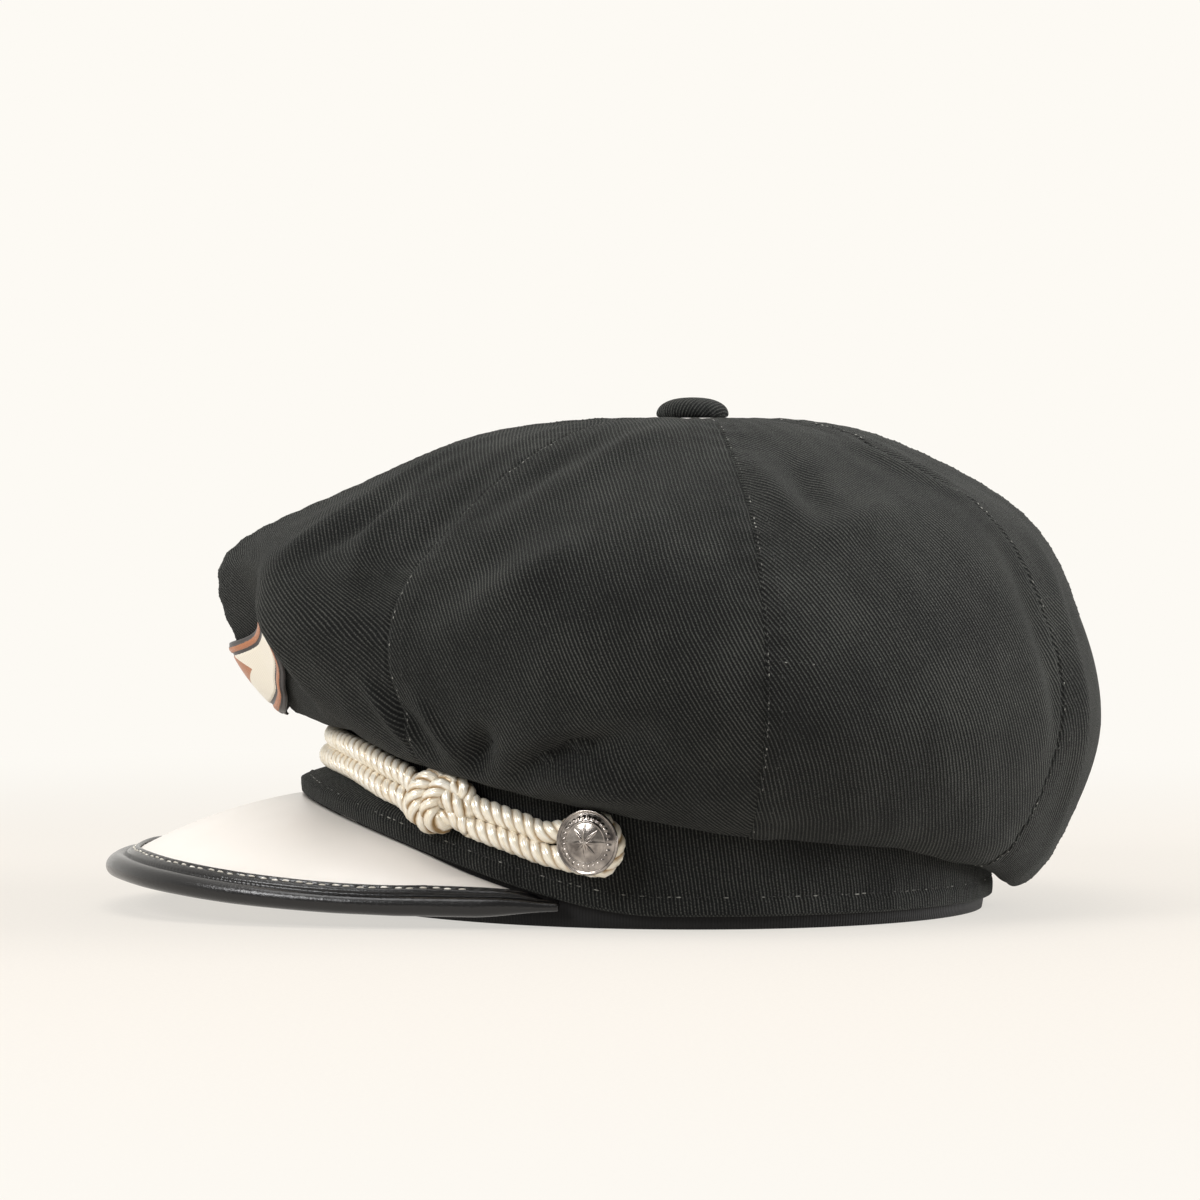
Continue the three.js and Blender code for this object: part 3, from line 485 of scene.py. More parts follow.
def add_stitches(name, runs, length, width, thickness):
    """Stitches as closed capsules: rings of six that narrow to a point at both ends, in an arc, each
    set a little off its place along and across the row by two sine waves."""
    centre, along, normal = (np.concatenate(parts) for parts in zip(*runs))
    along = unit(along)
    normal = square_to(along, normal)
    side = np.cross(along, normal)
    count = np.arange(len(centre))[:, None]
    centre += 0.14 * length * np.sin(2.4 * count) * along + 0.3 * width * np.sin(1.7 * count) * side
    place_on = np.array([-0.5, -0.42, -0.2, 0.2, 0.42, 0.5])[:, None]
    swell = np.array([0.05, 0.6, 1, 1, 0.6, 0.05])[:, None] / 2
    turn = np.arange(6) * np.pi / 3
    x = place_on * length + 0 * turn
    y = swell * np.cos(turn) * width
    z = swell * np.sin(turn) * thickness - place_on ** 2 * thickness * 1.4
    local = np.stack([x, y, z], -1).reshape(1, -1, 3, 1)
    points = centre[:, None] + (local * np.stack([along, side, normal], 1)[:, None]).sum(2)
    shift = count[..., None] * 36
    sides = (grid_faces(6, 6) + shift).reshape(-1, 4)
    ends = (np.stack([np.arange(6)[::-1], np.arange(30, 36)]) + shift).reshape(-1, 6)
    return add_mesh(name, [points], [sides, ends])


def thread(name, colour, worn="#1b1b1a"):
    """Matt cotton sewing thread, mottled along its length: a noise paints some stretches in the light
    colour as painted glints and leaves the rest in the darker one given as worn.
    """
    material, add = new_material(name)
    where = add("TexCoord", out="Object")
    glint_mottle = add("TexNoise", Vector=where, Scale=scale_of(3.03), Detail=2, Roughness=0.6)
    ply = add("TexNoise", Vector=where, Scale=scale_of(0.25))
    shader = add(
        # painted highlights: the stretches in the light colour stand for glints on the thread
        "BsdfPrincipled", Base_Color=add("ValToRGB", glint_mottle, stops=[(0.5, worn), (0.64, colour)]),
        Roughness=0.8, Normal=add("Bump", Height=ply, Strength=0.6, Distance=0.1 * MM),
    )
    add("OutputMaterial", shader)
    return material


station = np.linspace(*ROW_ENDS, 220)
for behind_seam, colour in SEAM_ROWS:
    paths = []
    for seam in sorted({*GORE_SEAMS, *(360 - seam for seam in GORE_SEAMS[1:-1])}):
        reach = np.linalg.norm(crown_point(seam, station)[:, :2] - (0, AXIS_Y), axis=-1)
        paths.append((seam + np.degrees(behind_seam / reach) * (1 if seam < 180 else -1), station))
    if behind_seam == SEAM_ROWS[0][0]:
        angle = np.linspace(*SIDE_ROW_ENDS, 30)
        paths += [(sign * angle, np.full(30, SIDE_ROW_STATION)) for sign in (1, -1)]
    lines = [[sample_crown(values, *path) for values in (crown_skin, crown_normals)] for path in paths]
    runs = [at_pitch(*line, STITCH_PITCH) for line in lines]
    crown_stitches = add_stitches("crown_stitching", runs, 0.9, THREAD_WIDTH, THREAD_WIDTH)
    crown_stitches.data.materials.append(thread("cotton_thread_" + colour[1:], colour))
    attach(crown_stitches, "root")
    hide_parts("crown")

# ---- the top button ----
# A domed button mould covered in the same twill, with the cloth gathered in under its rim. It sits
# where the eight seams meet.

BUTTON_SEAT = CROWN_TOP + 1.3 * GAP
# distance from the axis and height above the seat, from the gathered underside over the rim
BUTTON_PROFILE = np.array([
    (9.2, 0), (10.1, 0.25), (10.5, 0.9), (10.5, 1.7), (10.1, 2.7),
    (9.1, 3.8), (7.6, 4.7), (5.6, 5.4), (3.2, 5.8), (0.9, 5.95),
])
BUTTON_TOP = 5.97
BUTTON_ROWS, BUTTON_COLUMNS = 34, 120

rows_at = np.linspace(0, len(BUTTON_PROFILE) - 1, BUTTON_ROWS)
profile = np.concatenate([BUTTON_PROFILE[:1], BUTTON_PROFILE, BUTTON_PROFILE[-1:]])
outline = smooth(np.arange(-1, len(BUTTON_PROFILE) + 1), profile, rows_at)
turn = np.linspace(0, 360, BUTTON_COLUMNS + 1)[:-1]
pleats = 0.16 * np.sin(np.radians(22 * turn) + np.sin(np.radians(5 * turn)))
reach = outline[:, :1] + pleats * fade(rows_at[:, None] - 1.2, 3.2)
dome = place(turn, reach, BUTTON_SEAT + outline[:, 1:])
poles = np.array([(0, AXIS_Y, BUTTON_SEAT), (0, AXIS_Y, BUTTON_SEAT + BUTTON_TOP)])
dome_faces = tube_faces(BUTTON_ROWS, BUTTON_COLUMNS)
# the cloth is laid over from above: its coordinates are the way down from the middle of the top
run = run_of(outline)
flat = ((run[-1] - run)[:, None, None] + BUTTON_PROFILE[-1, 0]) * facing(turn)[:, :2]
flat = np.concatenate([flat.reshape(-1, 2), np.zeros((2, 2))])
top_button = add_mesh("top_button_cloth", [dome, poles], dome_faces, [flat[f] for f in dome_faces])
top_button.data.materials.append(twill("black_twill_of_button", lean=60, lint=0.5))
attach(top_button, "root")
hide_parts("top_button")

# ---- the headband and its hem ----
# A standing band of the same twill, folded under at the hem and sewn once round above the fold. It
# bulges out over the visor at the front, where a stiffener stands behind it.

HEM_HEIGHT, HEM_FRONT_RISE, HEM_RISE_ENDS = 3.7, 30.0, 84.0
BAND_WALL = 2.2
BAND_FLARE, BAND_FLARE_ENDS = 13.3, 74.0
BULGE_TOP, BULGE_FALL = 0.2, 0.28
BAND_COLUMNS, BAND_ROWS = 480, 44
HEM_STITCH, HEM_PITCH, HEM_PUCKER = 5.5, 2.6, 7.03
HEM_FOLD = 0.02


def hem_height(angle):
    """The hem's height, which rises towards the front as half a cosine wave."""
    return HEM_HEIGHT + HEM_FRONT_RISE * fade(from_front(angle), HEM_RISE_ENDS)


def band_height(angle):
    """How far the seam stands above the hem."""
    return seam_height(angle) - hem_height(angle)


def band_reach(angle, share):
    """The band's outer face, share running from the hem to the seam."""
    flare = BAND_FLARE * fade(from_front(angle), BAND_FLARE_ENDS)
    return head_reach(angle) + flare * fade(np.maximum(share - BULGE_TOP, 0), BULGE_FALL)


def band_reach_at(angle, height):
    """The same at a height, held level beyond the band's edges."""
    return band_reach(angle, np.clip((height - hem_height(angle)) / band_height(angle), 0, 1))


angle = np.linspace(0, 360, BAND_COLUMNS + 1)[:-1]
tall = band_height(angle)
# up the outside, over the top edge, down the inside and round under the fold of the hem
up = np.linspace(0, 1, BAND_ROWS)[:, None]
share = np.concatenate([HEM_FOLD + 0.96 * up, [[1.0]], [[1.0]], 1 - up[4::4] * 0.97])
inset = np.concatenate([0 * up, [[0.5]], [[BAND_WALL - 0.3]], np.full((10, 1), BAND_WALL)])
# the row of stitches sinks in and puckers the cloth, and the turned-up hem shows as a low step
hem = share * tall
around = np.radians(angle) * HEAD_HALF_WIDTH
dip = -0.28 * np.exp(-((hem - HEM_STITCH) / 0.8) ** 2)
pucker = 0.12 * np.sin(around * 2 * np.pi / HEM_PUCKER) * np.exp(-((hem - HEM_STITCH) / 4) ** 2)
turn_up = 0.2 * fade(np.maximum(hem - HEM_STITCH + 1.5, 0), 1.2)
relief = (dip + pucker + turn_up) * np.minimum(hem / 2, 1) + 0.18 * ripple(angle, hem, 9)
reach = band_reach(angle, share) - inset + (inset == 0) * relief
fold_turn = np.pi * (np.arange(1, 6) / 6)[:, None]
fold_reach = band_reach(angle, 0) - BAND_WALL / 2 * (1 + np.cos(fold_turn))
fold_height = hem_height(angle) + HEM_FOLD * tall * (1 - np.sin(fold_turn))
band_points = place(
    angle, np.concatenate([reach, fold_reach]), np.concatenate([hem_height(angle) + hem, fold_height]),
)


def add_strip(name, points, arc, at_column):
    """A closed band from rings whose last row meets the first: u runs round, v up one column."""
    rows, columns = points.shape[:2]
    up = run_of(np.concatenate([points, points[:1]])[:, at_column])
    return add_mesh(name, [points], [grid_faces(rows + 1, columns) % (rows * columns)], [wrapped_uv(arc, up)])


arc = run_of(np.concatenate([band_points[0], band_points[:1, 0]]))
band = add_strip("band_cloth", band_points, arc, BAND_COLUMNS // 4)
band.data.materials.append(twill("black_twill_of_band", lean=8))
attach(band, "root")
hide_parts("band")

angle = np.linspace(0, 360, 900)
reach = band_reach(angle, HEM_STITCH / band_height(angle)) - 0.02
line = place(angle, reach, hem_height(angle) + HEM_STITCH)
runs = [at_pitch(line, facing(angle), HEM_PITCH)]
band_stitches = add_stitches("band_stitching", runs, length=1.5, width=THREAD_WIDTH, thickness=0.3)
# the black thread is drawn grey as painted glints
band_stitches.data.materials.append(thread("black_cotton_thread", "#8f8f89"))
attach(band_stitches, "root")
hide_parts("band")

# ---- the sweatband ----
# A strip of black grosgrain ribbon standing inside the band, whose fine cross ribs run up and down.

SWEAT_WALL, SWEAT_BELOW_TOP, SWEAT_ROUNDING = 1.2, 4.0, 0.35
SWEAT_LIFT, SWEAT_LIFT_ENDS = 1.0, 84.0
SWEAT_ROWS, SWEAT_COLUMNS = 14, 360
CORD_RIB = 0.9

angle = np.arange(SWEAT_COLUMNS) * 360 / SWEAT_COLUMNS
low = SWEAT_LIFT * fade(from_front(angle), SWEAT_LIFT_ENDS)
high = seam_height(angle) - SWEAT_BELOW_TOP
# up the outer face and down the inner one, whose corners are rounded
up = np.linspace(0, 1, SWEAT_ROWS)[:, None]
share = np.concatenate([up, up[::-1]])
depth = np.concatenate([0 * up, 0 * up + SWEAT_WALL])
rounding = np.where(depth > 0, -SWEAT_ROUNDING, SWEAT_ROUNDING)
depth = depth + np.where((share == 0) | (share == 1), rounding, 0)
waver = 0.12 * np.sin(np.radians(angle) * 17 + 3 * share) * (depth > 0.6)
reach = head_reach(angle) - BAND_WALL - GAP - depth - waver
strip = place(angle, reach, low + (high - low) * share)
arc = np.linspace(0, 2 * np.pi * HEAD_HALF_WIDTH, SWEAT_COLUMNS + 1)
sweatband = add_strip("sweatband_ribbon", strip, arc, SWEAT_COLUMNS // 4)


def grosgrain(name):
    """Black grosgrain ribbon: close upright ribs, each painted a little lighter along its crest and darker
    in the grooves as painted shade.
    """
    material, add = new_material(name)
    uv = add("UVMap", uv_map="cloth")
    across = add("VectorMath", uv, (1 / (CORD_RIB * MM), 0, 0), operation="DOT_PRODUCT")
    rib = add("Math", across, 0.5, operation="PINGPONG")
    fuzz = add("TexNoise", Vector=uv, Scale=scale_of(0.5556), Detail=2)
    height = add("Math", fuzz, 0.3, rib, operation="MULTIPLY_ADD")
    shader = add(
        # painted shade: the ramp turns rib height into colour, lighter on the crests and darker in the
        # grooves
        "BsdfPrincipled", Base_Color=add("ValToRGB", height, stops=[(0.1, "#050506"), (0.7, "#111011")]),
        Roughness=0.72, Specular_IOR_Level=0.3, Sheen_Weight=0.04,
        Normal=add("Bump", Height=height, Strength=0.8, Distance=0.3 * MM),
    )
    add("OutputMaterial", shader)
    return material


sweatband.data.materials.append(grosgrain("black_grosgrain_ribbon"))
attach(sweatband, "root")
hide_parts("sweatband")

# ---- the visor plate ----
# A stiff board faced in ivory patent, gently domed. Its outer edge is held in the binding and its
# inner edge stands behind the hem of the band.

VISOR_WALL, VISOR_DOME, VISOR_FULL_DOME = 1.6, 3.0, 24.0
VISOR_TUCKED_IN, VISOR_UNDER_HEM = 1.8, 0.55
VISOR_END, PLATE_ENDS, PLATE_END_IN = 62.0, 0.94, 2.4
ROLL, STRIP_PROUD = 3.0, 1.9
DROP_FROM, DROP_WITHIN = 0.55, 0.25
PLATE_SLICES, PLATE_STEPS = 221, 26
# share of the way from the middle of the front to the temple, and the centre of the rolled edge
VISOR_SECTIONS = np.array([
    (0, 0, -142.9, 12.4), (0.16, 27, -139, 12.7), (0.34, 50, -125.5, 11.1), (0.52, 66, -102, 8.5),
    (0.7, 74.5, -73.5, 6.6), (0.86, 77.8, -42, 6.2), (1, 79.2, -16.5, 6.2),
])


def visor_edge(side):
    """The centre line of the rolled edge, side running from -1 to 1 across the front."""
    first, last = VISOR_SECTIONS[1] * (-1, -1, 1, 1), 2 * VISOR_SECTIONS[-1] - VISOR_SECTIONS[-2]
    table = np.concatenate([[first], VISOR_SECTIONS, [last]])
    edge = smooth(table[:, 0], table[:, 1:], np.abs(side))
    return edge * np.stack([np.sign(side), np.ones_like(side), np.ones_like(side)], -1)


def visor_root(side):
    """The plate's inner edge, under the hem; towards the temples it drops by the binding's depth."""
    angle = side * VISOR_END
    drop = 1 - fade(np.maximum(np.abs(side) - DROP_FROM, 0), DROP_WITHIN)
    above = VISOR_WALL / 2 + (STRIP_PROUD - VISOR_WALL / 2) * drop
    return place(angle, band_reach(angle, 0) - VISOR_TUCKED_IN, hem_height(angle) - VISOR_UNDER_HEM - above)


def visor_depth(side):
    """The straight distance from the rolled edge to the inner one."""
    return np.linalg.norm(visor_root(side) - visor_edge(side), axis=-1)


def visor_middle(side, inward):
    """The plate's middle layer: straight from edge to root, and raised half-way by a parabola."""
    side, inward = np.broadcast_arrays(np.asarray(side, float), np.asarray(inward, float))
    edge, depth = visor_edge(side), visor_depth(side)
    share = inward / depth
    point = edge + share[..., None] * (visor_root(side) - edge)
    point[..., 2] += 4 * VISOR_DOME * np.minimum(depth / VISOR_FULL_DOME, 1) * share * (1 - share)
    return point


def visor_normal(side, inward):
    """The upward normal of that layer, from its slopes along and across the plate."""
    along = visor_middle(side + 1e-3, inward) - visor_middle(side - 1e-3, inward)
    across = visor_middle(side, inward + 1e-3) - visor_middle(side, inward - 1e-3)
    normal = unit(np.cross(along, across))
    return normal * np.where(normal[..., 2:] < 0, -1, 1)


def visor_point(side, inward, proud):
    """A point of the middle layer, moved out along its normal."""
    return visor_middle(side, inward) + visor_normal(side, inward) * np.asarray(proud)[..., None]


side = np.linspace(-PLATE_ENDS, PLATE_ENDS, PLATE_SLICES)[:, None]
step = np.linspace(0, 1, PLATE_STEPS)
# each slice goes in along the upper face and back out along the lower one
inward = ROLL / 2 + (visor_depth(side) - ROLL / 2) * np.append(step, step[::-1])
proud = VISOR_WALL / 2 * np.repeat([1, -1], PLATE_STEPS)
skin = visor_point(side, inward, proud + 0 * inward)
poles = visor_point(side[[0, -1], 0], PLATE_END_IN, [0, 0])
plate = add_mesh("visor_plate_board", [skin, poles], tube_faces(PLATE_SLICES, 2 * PLATE_STEPS))


def patent(name):
    """Ivory patent facing: a smooth coat with a soft gloss, a faint pebbling under it, and slight
    yellowing and rubbed places that dull the gloss unevenly."""
    material, add = new_material(name)
    where = add("TexCoord", out="Object")
    stain = add("TexNoise", Vector=where, Scale=scale_of(45.5), Detail=4)
    pebble = add("TexNoise", Vector=where, Scale=scale_of(1.111), Detail=2)
    rub = add("TexNoise", Vector=where, Scale=scale_of(8.33), Detail=5, Roughness=0.7)
    shader = add(
        "BsdfPrincipled", Base_Color=add("ValToRGB", stain, stops=[(0.3, "#d8d3cc"), (0.7, "#e0dad4")]),
        Roughness=add("MapRange", rub, To_Min=0.3, To_Max=0.52), Specular_IOR_Level=0.45,
        Coat_Weight=0.25, Coat_Roughness=0.25,
        Normal=add("Bump", Height=pebble, Strength=0.25, Distance=0.06 * MM),
    )
    add("OutputMaterial", shader)
    return material


plate.data.materials.append(patent("ivory_patent_board"))
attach(plate, "root")
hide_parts("visor")

# ---- the leather binding of the visor ----
# A strip of black grained leather folded over a cord along the plate's edge, so that it forms a
# thick roll, and sewn through in front of a flat inner strip. It closes to a blunt end at each temple.

BINDING_SLOT, BINDING_SHRINK, BINDING_TAPERS = 0.28, 0.55, 0.12
BINDING_WIDTH, CLEAR_OF_ROOT, BINDING_ENDS = 7.6, 0.5, 1.02
BINDING_SLICES, BINDING_PITCH, BEAD_PITCH = 620, 3.6, 1.5
SEWN_IN, SHUT_LIP, SHUT_DEPTH = 1.5, 0.03, 0.2
STITCHED_ENDS, STITCHED_STEPS = 0.86, 3000


def strip_width(side):
    """How far in the flat inner strip reaches, short of the plate's inner edge."""
    return np.minimum(BINDING_WIDTH, visor_depth(side) - CLEAR_OF_ROOT)


side = np.linspace(-BINDING_ENDS, BINDING_ENDS, BINDING_SLICES)
edge_run = run_of(visor_edge(side))[:, None]
slim = 1 - BINDING_SHRINK * fade(BINDING_ENDS - np.abs(side), BINDING_TAPERS)[:, None]
roll = 1.05 * ROLL * slim
strip_end = np.maximum(strip_width(side)[:, None], roll + SEWN_IN)
# the slot that holds the plate, which closes beyond the plate's ends
held = np.clip((PLATE_ENDS + 0.004 - np.abs(side)) / 0.006, 0, 1)[:, None]
lip = SHUT_LIP + (VISOR_WALL / 2 + BINDING_SLOT - SHUT_LIP) * held
deep = strip_end - SHUT_DEPTH + (ROLL / 2 - BINDING_SLOT - strip_end + SHUT_DEPTH) * held
# the inner strip, pulled in along the row of stitches and puffed up between them
flat = strip_end - 0.25 + (roll + 0.9 - strip_end + 0.25) * np.linspace(0, 1, 12)
off_row = flat - strip_end + SEWN_IN
puff = 0.12 * np.cos(2 * np.pi * edge_run / BINDING_PITCH) * np.exp(-(off_row / 0.7) ** 2)
dip = -0.4 * np.exp(-(off_row / 0.45) ** 2)
flat_proud = STRIP_PROUD + 0.12 + 0.16 * np.sin(np.pi * np.linspace(0, 1, 12)) + puff + dip
# the upper half of the section, from the lip over the sewn strip and the groove on to the roll
bead = 0.16 * np.sin(2 * np.pi * edge_run / BEAD_PITCH)
turn = np.radians(np.linspace(38, 180, 16))
round_roll = roll + 0.02 * np.sin(edge_run / 9)
half_in = np.concatenate([
    deep, strip_end, strip_end, strip_end - 0.08, flat,
    roll + 0.55, roll + 0.15, roll - 0.28, round_roll * np.cos(turn),
], 1)
half_proud = np.concatenate([
    lip, lip, 0 * lip + 1.5, 0 * lip + 1.8, flat_proud,
    1.72 + bead, 1.3 + bead, 1.55 + 0.6 * bead, round_roll * np.sin(turn),
], 1)
inward = np.concatenate([half_in, half_in[:, -2::-1]], 1)
proud = np.concatenate([half_proud, -half_proud[:, -2::-1]], 1) * np.where(inward > roll, slim, 1)
skin = visor_point(side[:, None], inward, proud)
poles = visor_point(side[[0, -1]], 0, [0, 0])
binding_faces = tube_faces(BINDING_SLICES, inward.shape[1])
binding = add_mesh("visor_binding_leather", [skin, poles], binding_faces)


def leather(name):
    """Black grained leather, waxed: small pebbles break the gloss into bright grains along the roll,
    and rubbing has greyed it a little in patches."""
    material, add = new_material(name)
    where = add("TexCoord", out="Object")
    cells = add("TexVoronoi", Vector=where, Scale=scale_of(0.6667))
    fine = add("TexNoise", Vector=where, Scale=scale_of(0.3846), Detail=3, Roughness=0.7)
    height = add("Math", fine, 0.9, cells, operation="MULTIPLY_ADD")
    rub = add("TexNoise", Vector=where, Scale=scale_of(14.3), Detail=5, Roughness=0.65)
    shader = add(
        "BsdfPrincipled", Base_Color=add("ValToRGB", rub, stops=[(0.35, "#060506"), (0.75, "#100f11")]),
        Roughness=add("MapRange", rub, To_Min=0.14, To_Max=0.28), Coat_Weight=0.2, Coat_Roughness=0.3,
        Normal=add("Bump", Height=height, Strength=0.5, Distance=0.1 * MM),
    )
    add("OutputMaterial", shader)
    return material


binding.data.materials.append(leather("black_grained_leather"))
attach(binding, "root")
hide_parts("visor_binding")

side = np.linspace(-STITCHED_ENDS, STITCHED_ENDS, STITCHED_STEPS)
inward = np.maximum(strip_width(side), ROLL + SEWN_IN) - SEWN_IN
runs = []
for face in (1, -1):
    line = visor_point(side, inward, np.full(STITCHED_STEPS, face * (STRIP_PROUD + 0.1)))
    runs.append(at_pitch(line, face * visor_normal(side, inward), BINDING_PITCH))
binding_stitches = add_stitches("binding_stitching", runs, length=2.2, width=0.62, thickness=0.5)
# the black waxed thread is drawn near white as painted highlights
binding_stitches.data.materials.append(thread("waxed_thread_painted_white_glints", "#eeeae2", worn="#bdb8ae"))
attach(binding_stitches, "root")
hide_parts("visor_binding")

# ---- the cord ----
# A rope of three ivory satin strands. One length goes round both side buttons and across the front
# as the lower run; a second is the upper run, and its ends are tied over the first near each temple.

ROPE_RADIUS, STRAND_RADIUS, STRAND_OUT = 3.05, 1.68, 1.66
LAY_PITCH, YARN_PITCH, YARN_SLANT = 10.2, 0.42, 28
STRAND_SIDES, STRAND_STEP, STRAND_SHIFT = 14, 0.75, 40
KNOT_ANGLE, KNOT_OFF, KNOT_REACH = 42.5, 1.6, 18.0
# angle from the front, and the heights of the upper and the lower run
CORD_HEIGHTS = np.array([
    (0, 50.2, 44.4), (18, 48.0, 42.1), (32, 42.4, 36.4), (43, 37.2, 31.2), (50, 33.4, 27.4),
    (58, 29.2, 23.1), (66, 26.2, 19.9),
])
UPPER, LOWER = 0, 1
FRONT_ANGLES = np.arange(35.0, 4.0, -5)
LOOP_ANGLES = np.array([48.5, 53.2, 58.0, 62.5])
SIDE_ANGLE, SIDE_HEIGHT, SIDE_TURN = 71.4, 25.0, 22.0
BEND_RADIUS, BEND_DROP, BEND_OFF, BEND_END = 6.0, 1.1, 0.6, 82
# routes through a knot, as distances from its middle towards the back, up and out
TAIL_ROUTE = [(1.2, 3.6, -1.9), (3.4, 5.6, 0.9), (5.8, 5.0, 1.5), (8.0, 4.0, 0.7)]
SAG_ROUTE = [(6.2, -3.5, 0.4), (3, -3.9, 0.8), (0, -4.2, 1.0), (-3.4, -3.9, 0.6)]
CROSSING_ROUTE = [(10.0, -2.2, -0.9), (8.2, -1.0, 1.3), (5.2, 0.7, 2.7), (1.75, 2.2, 2.9), (-2.9, 3.0, 1.9)]
# where the upper and the lower run leave a knot
RUN_STARTS = (-7.2, 3.3, 0.6), (-7.2, -3.7, 0.1)


def cord_point(run, angle):
    """The rope's centre, where its round section just clears the band; further out at the knots."""
    angle = np.asarray(angle, float)
    height = smooth_mirrored(CORD_HEIGHTS[:, 0], CORD_HEIGHTS[:, 1 + run], np.abs(angle))
    clear = ROPE_RADIUS + 1.5 * GAP
    rise = clear * np.linspace(-1, 1, 9)
    outmost = band_reach_at(angle[..., None], height[..., None] + rise) + np.sqrt(clear ** 2 - rise ** 2)
    lift = KNOT_OFF * fade(np.abs(angle) - KNOT_ANGLE, KNOT_REACH)
    return place(angle, outmost.max(-1) + lift, height)


def button_frame(sign):
    """A side button's seat on the band, and the directions out of it and back along the head."""
    out = facing(sign * (90 - SIDE_TURN))
    seat = place(sign * SIDE_ANGLE, head_reach(SIDE_ANGLE), SIDE_HEIGHT)
    return seat, out, sign * np.array([-out[1], out[0], 0])


def knot_points(sign, route):
    """The points of a route through a knot, and the knot's outward direction."""
    upper, lower = (cord_point(run, sign * KNOT_ANGLE) for run in (UPPER, LOWER))
    up = unit(upper - lower)
    before, after = (cord_point(UPPER, sign * (KNOT_ANGLE + step)) for step in (-1, 1))
    back = square_to(up, after - before)
    out = sign * np.cross(back, up)
    return (upper + lower) / 2 + np.array(route) @ np.stack([back, up, out]), out


class Path:
    """The smooth line through stretches of control points, each with the direction that faces out
    there, or None for straight out from the axis. It is so fine that lengths can be read off it."""

    def __init__(self, stretches):
        points = np.concatenate([points for points, out in stretches])
        outs = [
            points * (1, 1, 0) - (0, AXIS_Y, 0) if out is None else 0 * points + out
            for points, out in stretches
        ]
        ends = 2 * points[[0, -1]] - points[[1, -2]]
        fine = np.linspace(0, len(points) - 1, 16 * (len(points) - 1) + 1)
        table = np.concatenate([ends[:1], points, ends[1:]])
        self.line = smooth(np.arange(-1, len(points) + 1), table, fine)
        self.out = read_at(fine, np.arange(len(points)), unit(np.concatenate(outs)))
        self.run = run_of(self.line)

    def length_to(self, point):
        """The length run up to the line's point nearest the given one."""
        return self.run[np.linalg.norm(self.line - point, axis=-1).argmin()]


def strands(path, start, end, squeeze=1.0):
    """Three tubes wound round the line from one length run to another, to the left as a rope is laid:
    each one's centre goes once round the line in a pitch. Gives each tube's rings and two end points,
    and the lengths at its rings."""
    at = np.linspace(start, end, int((end - start) / STRAND_STEP) + 2)
    centre = read_at(at, path.run, path.line)
    tangent = unit(np.gradient(centre, axis=0))
    normal = square_to(tangent, read_at(at, path.run, path.out))
    binormal = np.cross(tangent, normal)
    around = np.arange(STRAND_SIDES)[:, None] / STRAND_SIDES * 2 * np.pi
    tubes = []
    for k in range(3):
        phase = (2 * np.pi * (at / LAY_PITCH + k / 3))[:, None]
        arm = np.cos(phase) * normal + np.sin(phase) * binormal
        middle = centre + squeeze * STRAND_OUT * arm
        direction = unit(np.gradient(middle, axis=0))
        outward = square_to(direction, arm)
        sideways = np.cross(direction, outward)
        radius = squeeze * STRAND_RADIUS * (1 + 0.02 * np.sin(at * 1.7 + k))[:, None, None]
        # an ellipse, because each strand is pressed a little flat against its neighbours
        ring = 0.98 * np.cos(around) * outward[:, None] + 1.04 * np.sin(around) * sideways[:, None]
        tubes.append((middle[:, None] + radius * ring, middle[[0, -1]], at))
    return tubes


def add_rope(name, *stretches):
    """One mesh of several stretches of rope: u runs round a strand and v along it, shifted from strand
    to strand so that no two are alike."""
    arc = np.linspace(0, 2 * np.pi * STRAND_RADIUS, STRAND_SIDES + 1)
    points, faces, uvs, first = [], [], [], 0
    for stretch in stretches:
        for k, (rings, poles, at) in enumerate(stretch):
            points += [rings, poles]
            faces.append(tube_faces(len(at), STRAND_SIDES, first))
            fan_uv = np.zeros((2 * STRAND_SIDES, 3, 2))
            fan_uv[..., 1] = np.repeat(at[[0, -1]], STRAND_SIDES)[:, None]
            uvs.append((wrapped_uv(arc, at + STRAND_SHIFT * k), fan_uv))
            first += len(at) * STRAND_SIDES + 2
    faces, uvs = ([np.concatenate(parts) for parts in zip(*pairs)] for pairs in (faces, uvs))
    return add_mesh(name, points, faces, uvs)


